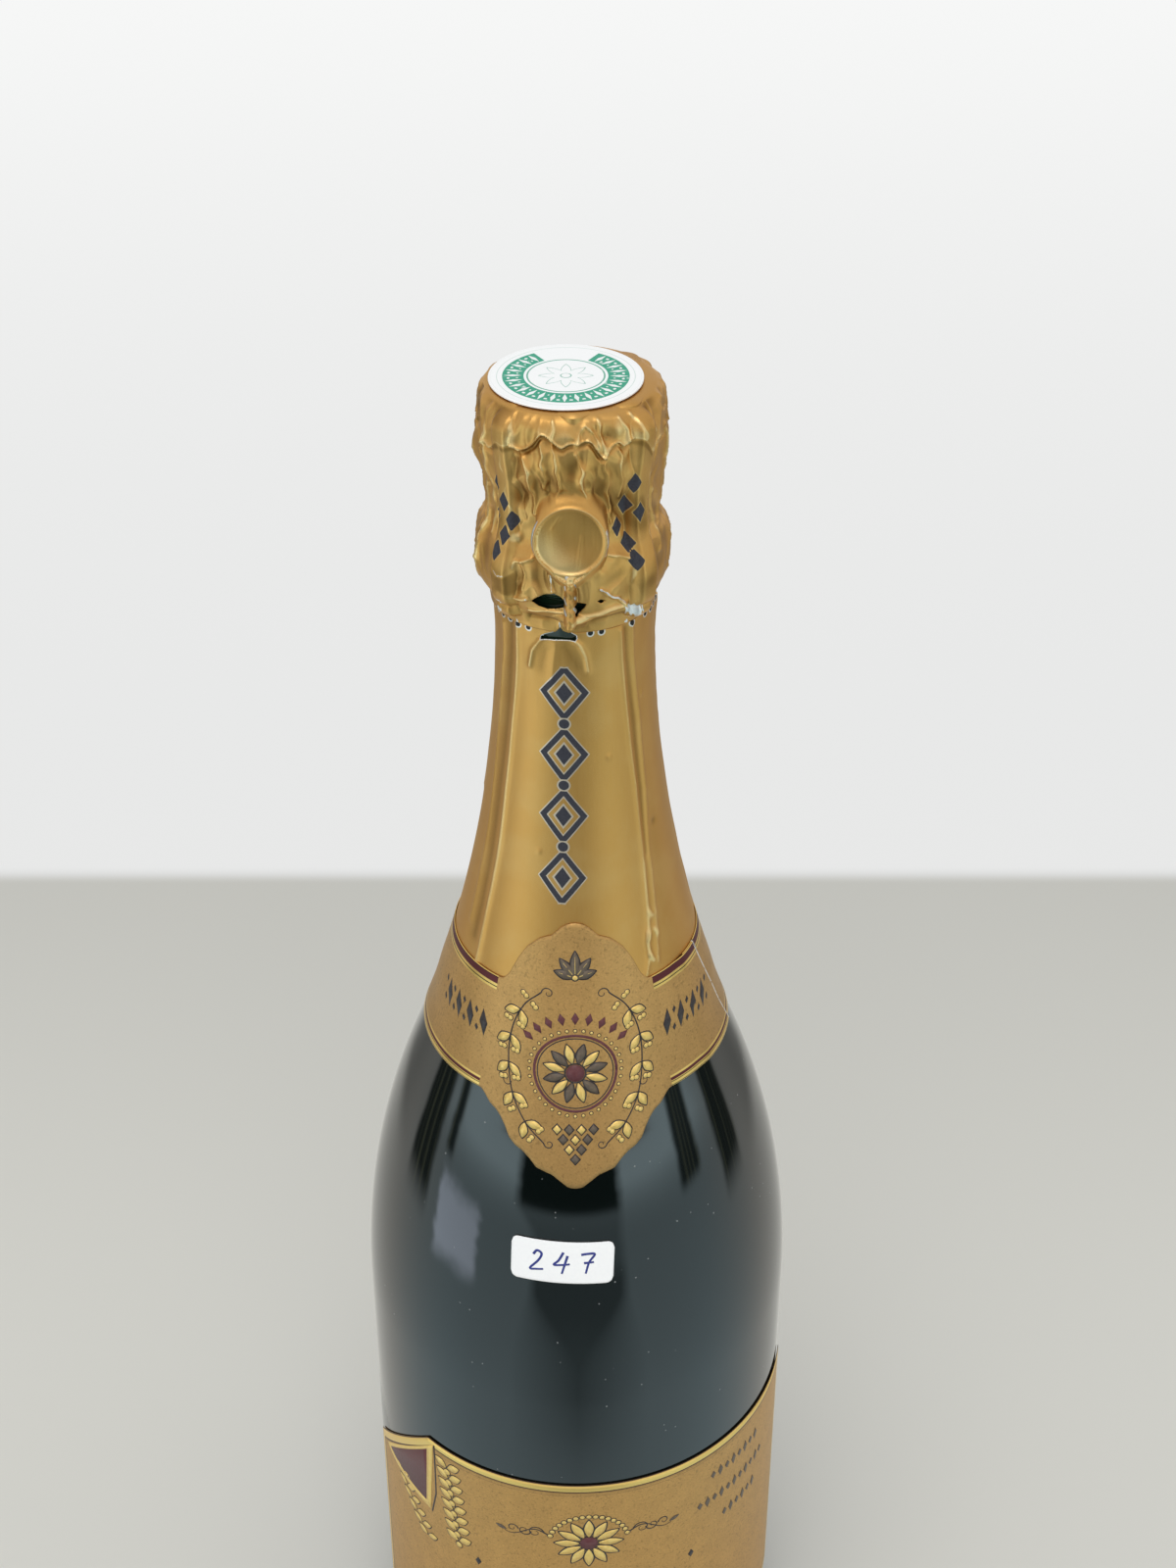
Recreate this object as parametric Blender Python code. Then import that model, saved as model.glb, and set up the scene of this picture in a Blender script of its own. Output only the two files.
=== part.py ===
"""Sealed 75 cl bottle of sparkling wine with its closure, foil and paper labels.

Metres, +Z up. The bottle stands on its bearing ring at z = 0, its axis is the
Z axis and its front faces -Y. Azimuths are degrees from the front, positive
towards +X. Outlines are lists of (radius, height).
"""

import math

import bmesh
import bpy
from mathutils import Vector

# Gap that any two touching pieces keep, and the distance at which points merge
GAP = 0.0003
MERGE = 0.00001

# Facets in a full turn
GLASS_STEPS = 40
SMALL_STEPS = 32
HOOD_STEPS = 56
BELT_STEPS = 48
RING_POINTS = 6

# Points along the glass's curves. The wine uses the same ones as the inside.
PUNT_POINTS = 5
HEEL_POINTS = 4
INNER_ARC_POINTS = (5, 7)
OUTER_ARC_POINTS = (6, 8)
LIP_POINTS = 3
ANNULUS_POINTS = 4

# Glass: height to the lip, straight body, shoulder and neck
GLASS_HEIGHT = 0.3000
BODY_RADIUS = 0.0442
BODY_TOP = 0.1150
SHOULDER_RADIUS = 0.1690
NECK_RADIUS = 0.0137
NECK_STRAIGHT = 0.0088
WALL = 0.0046

# Glass base: heel, flat bearing ring and hollow punt
HEEL_RADIUS = 0.0080
FOOT_WIDTH = 0.0030
PUNT_DEPTH = 0.0300
BASE_THICKNESS = 0.0100

# Glass mouth: lip, the waist under it, and the annulus that holds the wire
MOUTH_RADIUS = 0.00885
MOUTH_CHAMFER = 0.0005
LIP_RADIUS = 0.0144
LIP_HEIGHT = 0.0056
LIP_ROUND = 0.0015
WAIST_HEIGHT = 0.0024
ANNULUS_RADIUS = 0.0161
ANNULUS_HEIGHT = 0.0074
ANNULUS_ROUND = 0.0018

# Wine: its surface, measured down from the lip
WINE_DROP = 0.0850

# Cork: agglomerate head and plug, with two natural discs under the plug
CORK_LENGTH_IN_NECK = 0.0240
CORK_FIT = 0.00035
CORK_DISC_THICKNESS = 0.0050
CORK_CHAMFER = 0.0008
CORK_HEAD_HEIGHT = 0.01435
CORK_BULGE_SHARE = 0.58
CORK_HEAD_RADIUS = 0.0150
CORK_HEAD_FOOT_RADIUS = 0.0136
CORK_HEAD_TOP_RADIUS = 0.0142

# Crown cap: stamped sheet with a raised centre, a channel for the wire, a skirt
SHEET = 0.0003
CAP_CENTRE_RADIUS = 0.0116
CAP_CENTRE_RISE = 0.0030
CAP_SKIRT_RADIUS = 0.0155
CAP_SKIRT_DEPTH = 0.0048
CAP_BEND = 0.0013
CAP_BEND_POINTS = 4

# Wire of the cage, of its belt and of its loop
WIRE = 0.0009
STRAND_GAP = 0.00045
LEG_COUNT = 4
LEG_TURNS = 4.25
POINTS_PER_CURL = 8
CURVE_STEPS = 12
RING_START_SHARE = 3.0
EYE_ANGLES = (150.0, 390.0)
EYE_POINTS = 7
BELT_DROP = 0.0182
BELT_SPREAD_ANGLE = 17.0
LOOP_RADIUS = 0.0062
LOOP_STEM = 0.0073
LOOP_TURNS = 1.75
LOOP_POINTS = 24

# Foil: hood over the cage, sleeve down the neck, and the tear line between them
FOIL = 0.00025
TEAR_WIDTH = 0.0007
TEAR_DROP = 0.0219
HOOD_SLACK = 0.0002
HOOD_TOP_RADIUS = 0.0143
LEG_FOLD_ANGLE = 15.0
FRONT_ANGLE = 60.0
LOOP_FLAT_SHARE = 1.2
LOOP_FOLD_SHARE = 1.75
STEM_FOLD_SHARE = 4.0
SLEEVE_TUCK = 0.0085
SLEEVE_ROWS = 8
PLEAT_HEIGHT = 0.0005
PLEAT_AZIMUTHS = (-52.5, 52.5, 150.0)
CARD = 0.0003
TOP_DISC_RADIUS = 0.0140

# Paper: thickness, and the collar's place, measured down from the lip
PAPER = 0.00025
COLLAR_TOP_DROP = 0.0941
COLLAR_HEIGHT = 0.0225
COLLAR_ROWS = 3
SEAM_TOP_AZIMUTH = 71.0
SEAM_BOTTOM_AZIMUTH = 84.0
SEAM_LAP_ANGLE = 11.0
SEAM_RAMP_ANGLE = 9.0
MEDALLION_RISE = 0.0137
MEDALLION_FALL = 0.0154
MEDALLION_HALF_ANGLE = 36.5

# Half of the medallion's upper edge, from the collar to its top, as
# (share of the half angle, share of the rise)
MEDALLION_TOP_SHARES = (
    (1.00, 0.00),
    (0.79, 0.36),
    (0.67, 0.58),
    (0.52, 0.72),
    (0.33, 0.80),
    (0.20, 0.93),
    (0.00, 1.00),
)

# Half of its lower edge, from the collar to its tip, as
# (share of the half angle, share of the fall)
MEDALLION_BOTTOM_SHARES = (
    (0.95, 0.04),
    (0.79, 0.18),
    (0.67, 0.35),
    (0.55, 0.54),
    (0.41, 0.66),
    (0.27, 0.80),
    (0.13, 0.91),
    (0.00, 1.00),
)

# Front label: margins to the shoulder and to the heel, and its cut corner
LABEL_TOP_MARGIN = 0.0223
LABEL_BOTTOM_MARGIN = 0.0140
LABEL_LEFT_AZIMUTH = -76.0
LABEL_RIGHT_AZIMUTH = 82.0
LABEL_CUT_AZIMUTH = -44.6
LABEL_CUT_DEPTH = 0.0210
LABEL_ROWS = 3

# Lot sticker: size, corner, and its place under the medallion's tip
STICKER_WIDTH = 0.0200
STICKER_HEIGHT = 0.0090
STICKER_CORNER = 0.0014
STICKER_DROP = 0.0110
STICKER_AZIMUTH = -3.7
CORNER_POINTS = 4

# Levels that follow from the sizes above
ANNULUS_TOP = GLASS_HEIGHT - LIP_HEIGHT - WAIST_HEIGHT
ANNULUS_BOTTOM = ANNULUS_TOP - ANNULUS_HEIGHT
NECK_START = ANNULUS_BOTTOM - NECK_STRAIGHT
FOOT_RADIUS = BODY_RADIUS - HEEL_RADIUS
PUNT_RADIUS = FOOT_RADIUS - FOOT_WIDTH
INNER_RADIUS = BODY_RADIUS - WALL
CHANNEL_RADIUS = INNER_RADIUS - HEEL_RADIUS
WINE_LEVEL = GLASS_HEIGHT - WINE_DROP
CORK_RADIUS = MOUTH_RADIUS - CORK_FIT
CORK_FOOT = GLASS_HEIGHT + GAP
CORK_TOP = CORK_FOOT + CORK_HEAD_HEIGHT
CAP_LEVEL = CORK_TOP + GAP + SHEET
CAP_TOP = CAP_LEVEL + CAP_CENTRE_RISE
WIRE_RADIUS = WIRE / 2
STRAND_OFFSET = (WIRE + STRAND_GAP) / 2
LEG_HALF = STRAND_OFFSET + WIRE_RADIUS
RING_RADIUS = CAP_CENTRE_RADIUS + GAP + SHEET + WIRE
RING_LEVEL = CAP_LEVEL + GAP + WIRE_RADIUS
BELT_LEVEL = GLASS_HEIGHT - BELT_DROP
BELT_RADIUS = NECK_RADIUS + GAP + WIRE_RADIUS
EYE_RADIUS = WIRE + GAP
EYE_CENTRE = NECK_RADIUS + GAP + EYE_RADIUS + WIRE_RADIUS
STEM_RADIUS = ANNULUS_RADIUS + GAP + LEG_HALF
STEM_LEVEL = BELT_LEVEL + WIRE + GAP
LOOP_LEVEL = STEM_LEVEL + LOOP_STEM + LOOP_RADIUS
TEAR_LEVEL = GLASS_HEIGHT - TEAR_DROP
HOOD_TOP = CAP_TOP + GAP + FOIL
COLLAR_TOP = GLASS_HEIGHT - COLLAR_TOP_DROP
COLLAR_BOTTOM = COLLAR_TOP - COLLAR_HEIGHT
SLEEVE_BOTTOM = COLLAR_TOP - SLEEVE_TUCK
LABEL_BOTTOM = HEEL_RADIUS + LABEL_BOTTOM_MARGIN
LABEL_TOP = BODY_TOP - LABEL_TOP_MARGIN
STICKER_TOP = COLLAR_BOTTOM - MEDALLION_FALL - STICKER_DROP

# Shoulder and neck are two arcs that touch: the second one's radius and the
# height where they meet follow from the heights and radii that they join
SWEEP_RISE = NECK_START - BODY_TOP
SWEEP_STEP = BODY_RADIUS - NECK_RADIUS
ARC_SUM = (SWEEP_RISE ** 2 + SWEEP_STEP ** 2) / (2 * SWEEP_STEP)
NECK_SWEEP_RADIUS = ARC_SUM - SHOULDER_RADIUS
SWEEP_LEVEL = BODY_TOP + SWEEP_RISE * SHOULDER_RADIUS / ARC_SUM


def clear_scene():
    """Removes whatever the file holds."""
    for thing in list(bpy.data.objects):
        bpy.data.objects.remove(thing, do_unlink=True)


def finish(name, colour, roughness, metallic=0.0, alpha=1.0):
    """A Principled material."""
    material = bpy.data.materials.new(name)
    material.use_nodes = True
    shader = material.node_tree.nodes["Principled BSDF"]
    shader.inputs["Base Color"].default_value = (*colour, 1.0)
    shader.inputs["Roughness"].default_value = roughness
    shader.inputs["Metallic"].default_value = metallic
    shader.inputs["Alpha"].default_value = alpha
    return material


def empty(name, parent=None):
    """A frame on the bottle's axis that the pieces of one body hang from."""
    frame = bpy.data.objects.new(name, None)
    bpy.context.scene.collection.objects.link(frame)
    frame.parent = parent
    return frame


def place(name, data, material, parent):
    """An object of its own with its own material, hung from its body's frame."""
    data.materials.append(material)
    thing = bpy.data.objects.new(name, data)
    bpy.context.scene.collection.objects.link(thing)
    thing.parent = parent
    return thing


def spread(first, last, count):
    """Evenly spaced values from first to last, both included."""
    return [first + (last - first) * i / (count - 1) for i in range(count)]


def arc(centre_radius, centre_height, radius, start, end, count):
    """Outline points on a circle, from one angle in degrees to another."""
    points = []
    for angle in spread(math.radians(start), math.radians(end), count):
        across = centre_radius + radius * math.cos(angle)
        up = centre_height + radius * math.sin(angle)
        points.append((across, up))
    return points


def smooth(value):
    """Eases 0 to 1."""
    value = min(max(value, 0.0), 1.0)
    return value * value * (3 - 2 * value)


def bump(distance, reach):
    """1 at no distance, easing down to 0 at the reach."""
    return smooth(1 - abs(distance) / reach)


def turned(name, outline, material, parent, steps=GLASS_STEPS, ring=False):
    """Turns an outline about Z. It runs down its outer side, and a ring's is closed."""
    points = [(radius, 0, height) for radius, height in outline]
    edges = [(i, i + 1) for i in range(len(points) - 1)]
    if ring:
        edges.append((len(points) - 1, 0))
    mesh = bpy.data.meshes.new(name)
    mesh.from_pydata(points, edges, [])
    thing = place(name, mesh, material, parent)
    screw = thing.modifiers.new("turn", "SCREW")
    screw.steps = steps
    screw.render_steps = steps
    screw.use_merge_vertices = True
    screw.merge_threshold = MERGE
    screw.use_smooth_shade = True
    return thing


def spun(outline, steps):
    """A skin spun about Z from its outer outline, for foil that isn't quite round."""
    bm = bmesh.new()
    points = [bm.verts.new((radius, 0, height)) for radius, height in outline]
    edges = [bm.edges.new(pair) for pair in zip(points, points[1:])]
    bmesh.ops.spin(
        bm,
        geom=points + edges,
        cent=(0, 0, 0),
        axis=(0, 0, 1),
        angle=math.tau,
        steps=steps,
        use_merge=True,
    )
    bmesh.ops.remove_doubles(bm, verts=bm.verts, dist=MERGE)
    bmesh.ops.recalc_face_normals(bm, faces=bm.faces)
    return bm


def thicken(thing, thickness):
    """Gives a skin its thickness, inwards."""
    solid = thing.modifiers.new("thickness", "SOLIDIFY")
    solid.thickness = thickness
    solid.offset = -1
    return thing


def finish_mesh(bm, name):
    """Turns a bmesh into a smooth-shaded mesh."""
    mesh = bpy.data.meshes.new(name)
    bm.to_mesh(mesh)
    bm.free()
    mesh.shade_smooth()
    return mesh


def on_bottle(azimuth, radius, height):
    """A point at an azimuth in degrees from the front."""
    turn = math.radians(azimuth)
    return Vector((radius * math.sin(turn), -radius * math.cos(turn), height))


def azimuth_of(point):
    """Degrees from the front, -180 to 180."""
    return math.degrees(math.atan2(point.x, -point.y))


def angle_between(first, second):
    """Smallest difference of two azimuths, in degrees."""
    return abs((first - second + 180) % 360 - 180)


def glass_radius(height):
    """Outside radius of the glass, from the top of the heel to the annulus."""
    if height <= BODY_TOP:
        return BODY_RADIUS
    if height <= SWEEP_LEVEL:
        rise = height - BODY_TOP
        return BODY_RADIUS - SHOULDER_RADIUS + math.sqrt(SHOULDER_RADIUS ** 2 - rise ** 2)
    if height <= NECK_START:
        drop = NECK_START - height
        sweep = NECK_SWEEP_RADIUS
        return NECK_RADIUS + sweep - math.sqrt(sweep ** 2 - drop ** 2)
    return NECK_RADIUS


def shoulder_and_neck(inset, counts):
    """The two touching arcs, bottom to top, moved into the glass by an inset."""
    lean = math.degrees(math.asin((SWEEP_LEVEL - BODY_TOP) / SHOULDER_RADIUS))
    shoulder = arc(
        BODY_RADIUS - SHOULDER_RADIUS,
        BODY_TOP,
        SHOULDER_RADIUS - inset,
        0,
        lean,
        counts[0],
    )
    neck = arc(
        NECK_RADIUS + NECK_SWEEP_RADIUS,
        NECK_START,
        NECK_SWEEP_RADIUS + inset,
        180 + lean,
        180,
        counts[1],
    )
    return shoulder + neck[1:]


def punt(radius, base):
    """The hollow in the base, from its crown out to a radius."""
    points = []
    for share in spread(0, 1, PUNT_POINTS):
        height = base + PUNT_DEPTH * math.cos(share * math.pi / 2)
        points.append((radius * share, height))
    return points


def round_ring(radius, bottom, top, edge, count):
    """The outer side of a ring with rounded edges, top to bottom."""
    upper = arc(radius - edge, top - edge, edge, 90, 0, count)
    lower = arc(radius - edge, bottom + edge, edge, 0, -90, count)
    return upper + lower


def glass_outline():
    """From the punt's inner crown up the inside, over the lip and down outside."""
    inside = punt(CHANNEL_RADIUS, BASE_THICKNESS)
    heel_centre = BASE_THICKNESS + HEEL_RADIUS
    inside += arc(CHANNEL_RADIUS, heel_centre, HEEL_RADIUS, -90, 0, HEEL_POINTS)[1:]
    inside += shoulder_and_neck(WALL, INNER_ARC_POINTS)
    inside.append((MOUTH_RADIUS, GLASS_HEIGHT - MOUTH_CHAMFER))
    inside.append((MOUTH_RADIUS + MOUTH_CHAMFER, GLASS_HEIGHT))
    lip_bottom = GLASS_HEIGHT - LIP_HEIGHT
    lip = round_ring(LIP_RADIUS, lip_bottom, GLASS_HEIGHT, LIP_ROUND, LIP_POINTS)
    annulus = round_ring(
        ANNULUS_RADIUS,
        ANNULUS_BOTTOM,
        ANNULUS_TOP,
        ANNULUS_ROUND,
        ANNULUS_POINTS,
    )
    waist = [(NECK_RADIUS, (lip_bottom + ANNULUS_TOP) / 2)]
    throat = [(NECK_RADIUS, ANNULUS_BOTTOM - ANNULUS_ROUND / 2)]
    outside = shoulder_and_neck(0, OUTER_ARC_POINTS)[::-1]
    heel = arc(FOOT_RADIUS, HEEL_RADIUS, HEEL_RADIUS, 0, -90, HEEL_POINTS)
    hollow = punt(PUNT_RADIUS, 0)[::-1]
    return inside + lip + waist + annulus + throat + outside + heel + hollow


def make_glass(parent):
    """The bottle itself: thick green glass with a punt and an annulus."""
    green = finish("green_glass", (0.012, 0.022, 0.018), 0.06, alpha=0.85)
    return turned("glass_bottle", glass_outline(), green, parent)


def make_wine(parent):
    """The wine, a gap inside the glass, up to its surface in the neck."""
    amber = finish("wine", (0.62, 0.47, 0.14), 0.05, alpha=0.6)
    side = shoulder_and_neck(WALL + GAP, INNER_ARC_POINTS)
    side = [point for point in side if point[1] < WINE_LEVEL]
    edge = glass_radius(WINE_LEVEL) - WALL - GAP
    outline = [(0, WINE_LEVEL), (edge, WINE_LEVEL)] + side[::-1]
    corner = HEEL_RADIUS - GAP
    outline += arc(CHANNEL_RADIUS, BASE_THICKNESS + HEEL_RADIUS, corner, 0, -90, HEEL_POINTS)
    outline += punt(CHANNEL_RADIUS, BASE_THICKNESS + GAP)[::-1][1:]
    return turned("wine", outline, amber, parent, SMALL_STEPS)


def cork_levels():
    """Bottom of the plug, then the joint above each natural disc."""
    bottom = GLASS_HEIGHT - CORK_LENGTH_IN_NECK
    first = bottom + CORK_DISC_THICKNESS
    second = first + GAP + CORK_DISC_THICKNESS
    return bottom, first, second


def make_cork(parent):
    """Mushroom cork: agglomerate head and plug in one."""
    tan = finish("cork_agglomerate", (0.56, 0.38, 0.22), 0.85)
    bottom = cork_levels()[2] + GAP
    bulge = CORK_FOOT + CORK_HEAD_HEIGHT * CORK_BULGE_SHARE
    dome = CAP_CENTRE_RISE - CAP_BEND
    outline = [(0, CORK_TOP + dome), (CAP_CENTRE_RADIUS - CAP_BEND - SHEET, CORK_TOP + dome)]
    outline.append((CAP_CENTRE_RADIUS - SHEET - GAP, CORK_TOP))
    outline.append((CORK_HEAD_TOP_RADIUS, CORK_TOP))
    outline.append((CORK_HEAD_RADIUS, bulge))
    outline.append(((CORK_HEAD_RADIUS + CORK_HEAD_FOOT_RADIUS) / 2, (bulge + CORK_FOOT) / 2))
    outline.append((CORK_HEAD_FOOT_RADIUS, CORK_FOOT))
    outline.append((CORK_RADIUS, CORK_FOOT))
    outline.append((CORK_RADIUS, bottom))
    outline.append((0, bottom))
    return turned("cork_body", outline, tan, parent, SMALL_STEPS)


def make_cork_discs(parent):
    """Two natural discs glued under the plug. The lower one has a chamfer."""
    bottom, first, second = cork_levels()
    upper = [(0, second), (CORK_RADIUS, second), (CORK_RADIUS, first + GAP), (0, first + GAP)]
    lower = [
        (0, first),
        (CORK_RADIUS, first),
        (CORK_RADIUS, bottom + CORK_CHAMFER),
        (CORK_RADIUS - CORK_CHAMFER, bottom),
        (0, bottom),
    ]
    pale = finish("cork_disc_upper", (0.66, 0.46, 0.28), 0.85)
    turned("cork_disc_upper", upper, pale, parent, SMALL_STEPS)
    dark = finish("cork_disc_lower", (0.58, 0.38, 0.22), 0.85)
    turned("cork_disc_lower", lower, dark, parent, SMALL_STEPS)


def cap_side(sheet):
    """One side of the crown cap, centre to skirt edge, a sheet's part inwards."""
    top = CAP_TOP - sheet
    level = CAP_LEVEL - sheet
    centre = CAP_CENTRE_RADIUS - sheet
    skirt = CAP_SKIRT_RADIUS - sheet
    bend = CAP_BEND - sheet
    points = [(0, top)]
    points += arc(centre - CAP_BEND, top - CAP_BEND, CAP_BEND, 90, 0, CAP_BEND_POINTS)
    points.append((centre, level))
    points += arc(skirt - bend, level - bend, bend, 90, 0, CAP_BEND_POINTS)
    points.append((skirt, CAP_LEVEL - CAP_SKIRT_DEPTH))
    return points


def make_crown_cap(parent):
    """Stamped steel cap between the cork's head and the wire."""
    tin = finish("crown_cap_steel", (0.72, 0.70, 0.66), 0.3, 1.0)
    outline = cap_side(0) + cap_side(SHEET)[::-1]
    return turned("crown_cap", outline, tin, parent, SMALL_STEPS)


def through(points, count):
    """Evenly spaced points on a smooth curve through the given points."""
    padded = [points[0] * 2 - points[1]] + list(points) + [points[-1] * 2 - points[-2]]
    fine = []
    for before, start, end, after in zip(padded, padded[1:], padded[2:], padded[3:]):
        cubic = start * 3 - before - end * 3 + after
        square = before * 2 - start * 5 + end * 4 - after
        for share in spread(0, 1, CURVE_STEPS + 1)[:-1]:
            bend = cubic * share ** 3 + square * share ** 2
            fine.append((bend + (end - before) * share + start * 2) / 2)
    fine.append(points[-1])
    run = [0.0]
    for first, second in zip(fine, fine[1:]):
        run.append(run[-1] + (second - first).length)
    even = []
    spot = 0
    for goal in spread(0, run[-1], count):
        while spot < len(run) - 2 and run[spot + 1] < goal:
            spot += 1
        share = (goal - run[spot]) / (run[spot + 1] - run[spot])
        even.append(fine[spot].lerp(fine[spot + 1], share))
    return even


def leg_spine():
    """Middle of a leg's twist as (radius, height): over the cap, cork and annulus."""
    over_cap = CAP_SKIRT_RADIUS + GAP + LEG_HALF
    over_cork = CORK_HEAD_RADIUS + GAP + LEG_HALF
    over_annulus = STEM_RADIUS
    middle = (ANNULUS_TOP + ANNULUS_BOTTOM) / 2
    return [
        Vector((RING_RADIUS + LEG_HALF, RING_LEVEL + GAP)),
        Vector((over_cap - LEG_HALF, CAP_LEVEL + GAP + LEG_HALF)),
        Vector((over_cap + GAP, CAP_LEVEL)),
        Vector((over_cap, CAP_LEVEL - CAP_SKIRT_DEPTH)),
        Vector((over_cork, CORK_FOOT + CORK_HEAD_HEIGHT / 3)),
        Vector((over_cork, GLASS_HEIGHT - LIP_HEIGHT / 2)),
        Vector((over_annulus, middle + ANNULUS_ROUND)),
        Vector((over_annulus, ANNULUS_BOTTOM + ANNULUS_ROUND)),
        Vector((EYE_CENTRE + EYE_RADIUS + GAP, ANNULUS_BOTTOM)),
        Vector((EYE_CENTRE + LEG_HALF, BELT_LEVEL + EYE_RADIUS + WIRE)),
    ]


def leg_wire(turn):
    """One leg: down a strand, round the belt's eye and up the other strand."""
    count = round(LEG_TURNS * POINTS_PER_CURL) + 1
    spine = through(leg_spine(), count)
    around = Vector((-math.sin(turn), math.cos(turn), 0))
    outward = Vector((math.cos(turn), math.sin(turn), 0))
    up = Vector((0, 0, 1))
    down_strand = []
    up_strand = []
    for i, spot in enumerate(spine):
        before = spine[max(i - 1, 0)]
        after = spine[min(i + 1, count - 1)]
        along = (after - before).normalized()
        normal = outward * -along.y + up * along.x
        phase = math.pi + math.tau * LEG_TURNS * i / (count - 1)
        offset = around * math.cos(phase) + normal * math.sin(phase)
        middle = outward * spot.x + up * spot.y
        down_strand.append(middle + offset * STRAND_OFFSET)
        up_strand.append(middle - offset * STRAND_OFFSET)
    eye = []
    for radius, height in arc(EYE_CENTRE, BELT_LEVEL, EYE_RADIUS, *EYE_ANGLES, EYE_POINTS):
        eye.append(outward * radius + up * height)
    return down_strand + eye + up_strand[::-1]


def least_gap(points, closed):
    """Least distance between stretches of a wire that aren't neighbours, less the wire."""
    least = GLASS_HEIGHT
    count = len(points)
    for i, first in enumerate(points):
        for j in range(i + POINTS_PER_CURL // 2, count):
            if closed and count - j + i < POINTS_PER_CURL // 2:
                continue
            least = min(least, (points[j] - first).length)
    return least - WIRE


def wire_object(name, points, closed, material, parent):
    """A round wire along its points, in one unbroken tube."""
    curve = bpy.data.curves.new(name, "CURVE")
    curve.dimensions = "3D"
    curve.bevel_depth = WIRE_RADIUS
    curve.bevel_resolution = 1
    curve.render_resolution_u = 0
    curve.use_fill_caps = not closed
    spline = curve.splines.new("POLY")
    spline.points.add(len(points) - 1)
    for spot, point in zip(spline.points, points):
        spot.co = (*point, 1)
    spline.use_cyclic_u = closed
    return place(name, curve, material, parent)


def make_cage(parent):
    """The frame of the wire cage: a ring and four twisted legs from one wire."""
    steel = finish("cage_wire", (0.74, 0.73, 0.70), 0.35, 1.0)
    points = []
    step = math.tau / LEG_COUNT
    for leg in range(LEG_COUNT):
        turn = step * (leg + 0.5)
        points += leg_wire(turn)
        clear = STRAND_OFFSET / RING_RADIUS * RING_START_SHARE
        for angle in spread(turn + clear, turn + step - clear, RING_POINTS):
            points.append(
                Vector((math.cos(angle) * RING_RADIUS, math.sin(angle) * RING_RADIUS, RING_LEVEL))
            )
    print("cage_frame least gap", round(least_gap(points, True), 6))
    return wire_object("cage_frame", points, True, steel, parent)


def nearest_leg(azimuth):
    """Degrees to the nearest leg of the cage. The first leg is half a step from the front."""
    step = 360 / LEG_COUNT
    return abs((azimuth % step) - step / 2)


def belt_radius(azimuth):
    """The belt hugs the neck, and swells to its eyes and to its twisted ends in front."""
    at_leg = (EYE_CENTRE - BELT_RADIUS) * bump(nearest_leg(azimuth), BELT_SPREAD_ANGLE)
    at_front = (STEM_RADIUS - WIRE - BELT_RADIUS) * bump(angle_between(azimuth, 0), BELT_SPREAD_ANGLE)
    return BELT_RADIUS + at_leg + at_front


def make_belt(parent):
    """The belt that ties the legs under the annulus."""
    steel = finish("belt_wire", (0.70, 0.69, 0.66), 0.35, 1.0)
    points = []
    for azimuth in spread(0, 360, BELT_STEPS + 1)[:-1]:
        points.append(on_bottle(azimuth, belt_radius(azimuth), BELT_LEVEL))
    return wire_object("belt_wire", points, True, steel, parent)


def make_loop(parent):
    """The belt's twisted ends and the loop that is turned to open the cage.

    Its origin is on the bend at its foot, where it folds down.
    """
    steel = finish("wire_loop", (0.76, 0.75, 0.72), 0.3, 1.0)
    count = round(LOOP_TURNS * POINTS_PER_CURL) + 1
    opening = math.asin(STRAND_OFFSET / LOOP_RADIUS)
    stem_top = LOOP_STEM + LOOP_RADIUS * (1 - math.cos(opening))
    first = []
    second = []
    for i in range(count):
        phase = math.pi + math.tau * LOOP_TURNS * (1 - i / (count - 1))
        across = STRAND_OFFSET * math.cos(phase)
        out = STRAND_OFFSET * math.sin(phase)
        height = stem_top * i / (count - 1)
        first.append(Vector((across, out, height)))
        second.append(Vector((-across, -out, height)))
    middle = LOOP_STEM + LOOP_RADIUS
    ring = []
    for angle in spread(-math.pi / 2 - opening, opening - math.pi * 2.5, LOOP_POINTS)[1:-1]:
        across = LOOP_RADIUS * math.cos(angle)
        ring.append(Vector((across, 0, middle + LOOP_RADIUS * math.sin(angle))))
    points = first + ring + second[::-1]
    print("wire_loop least gap", round(least_gap(points, False), 6))
    loop = wire_object("wire_loop", points, False, steel, parent)
    loop.location = (0, -STEM_RADIUS, STEM_LEVEL)
    return loop


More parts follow.
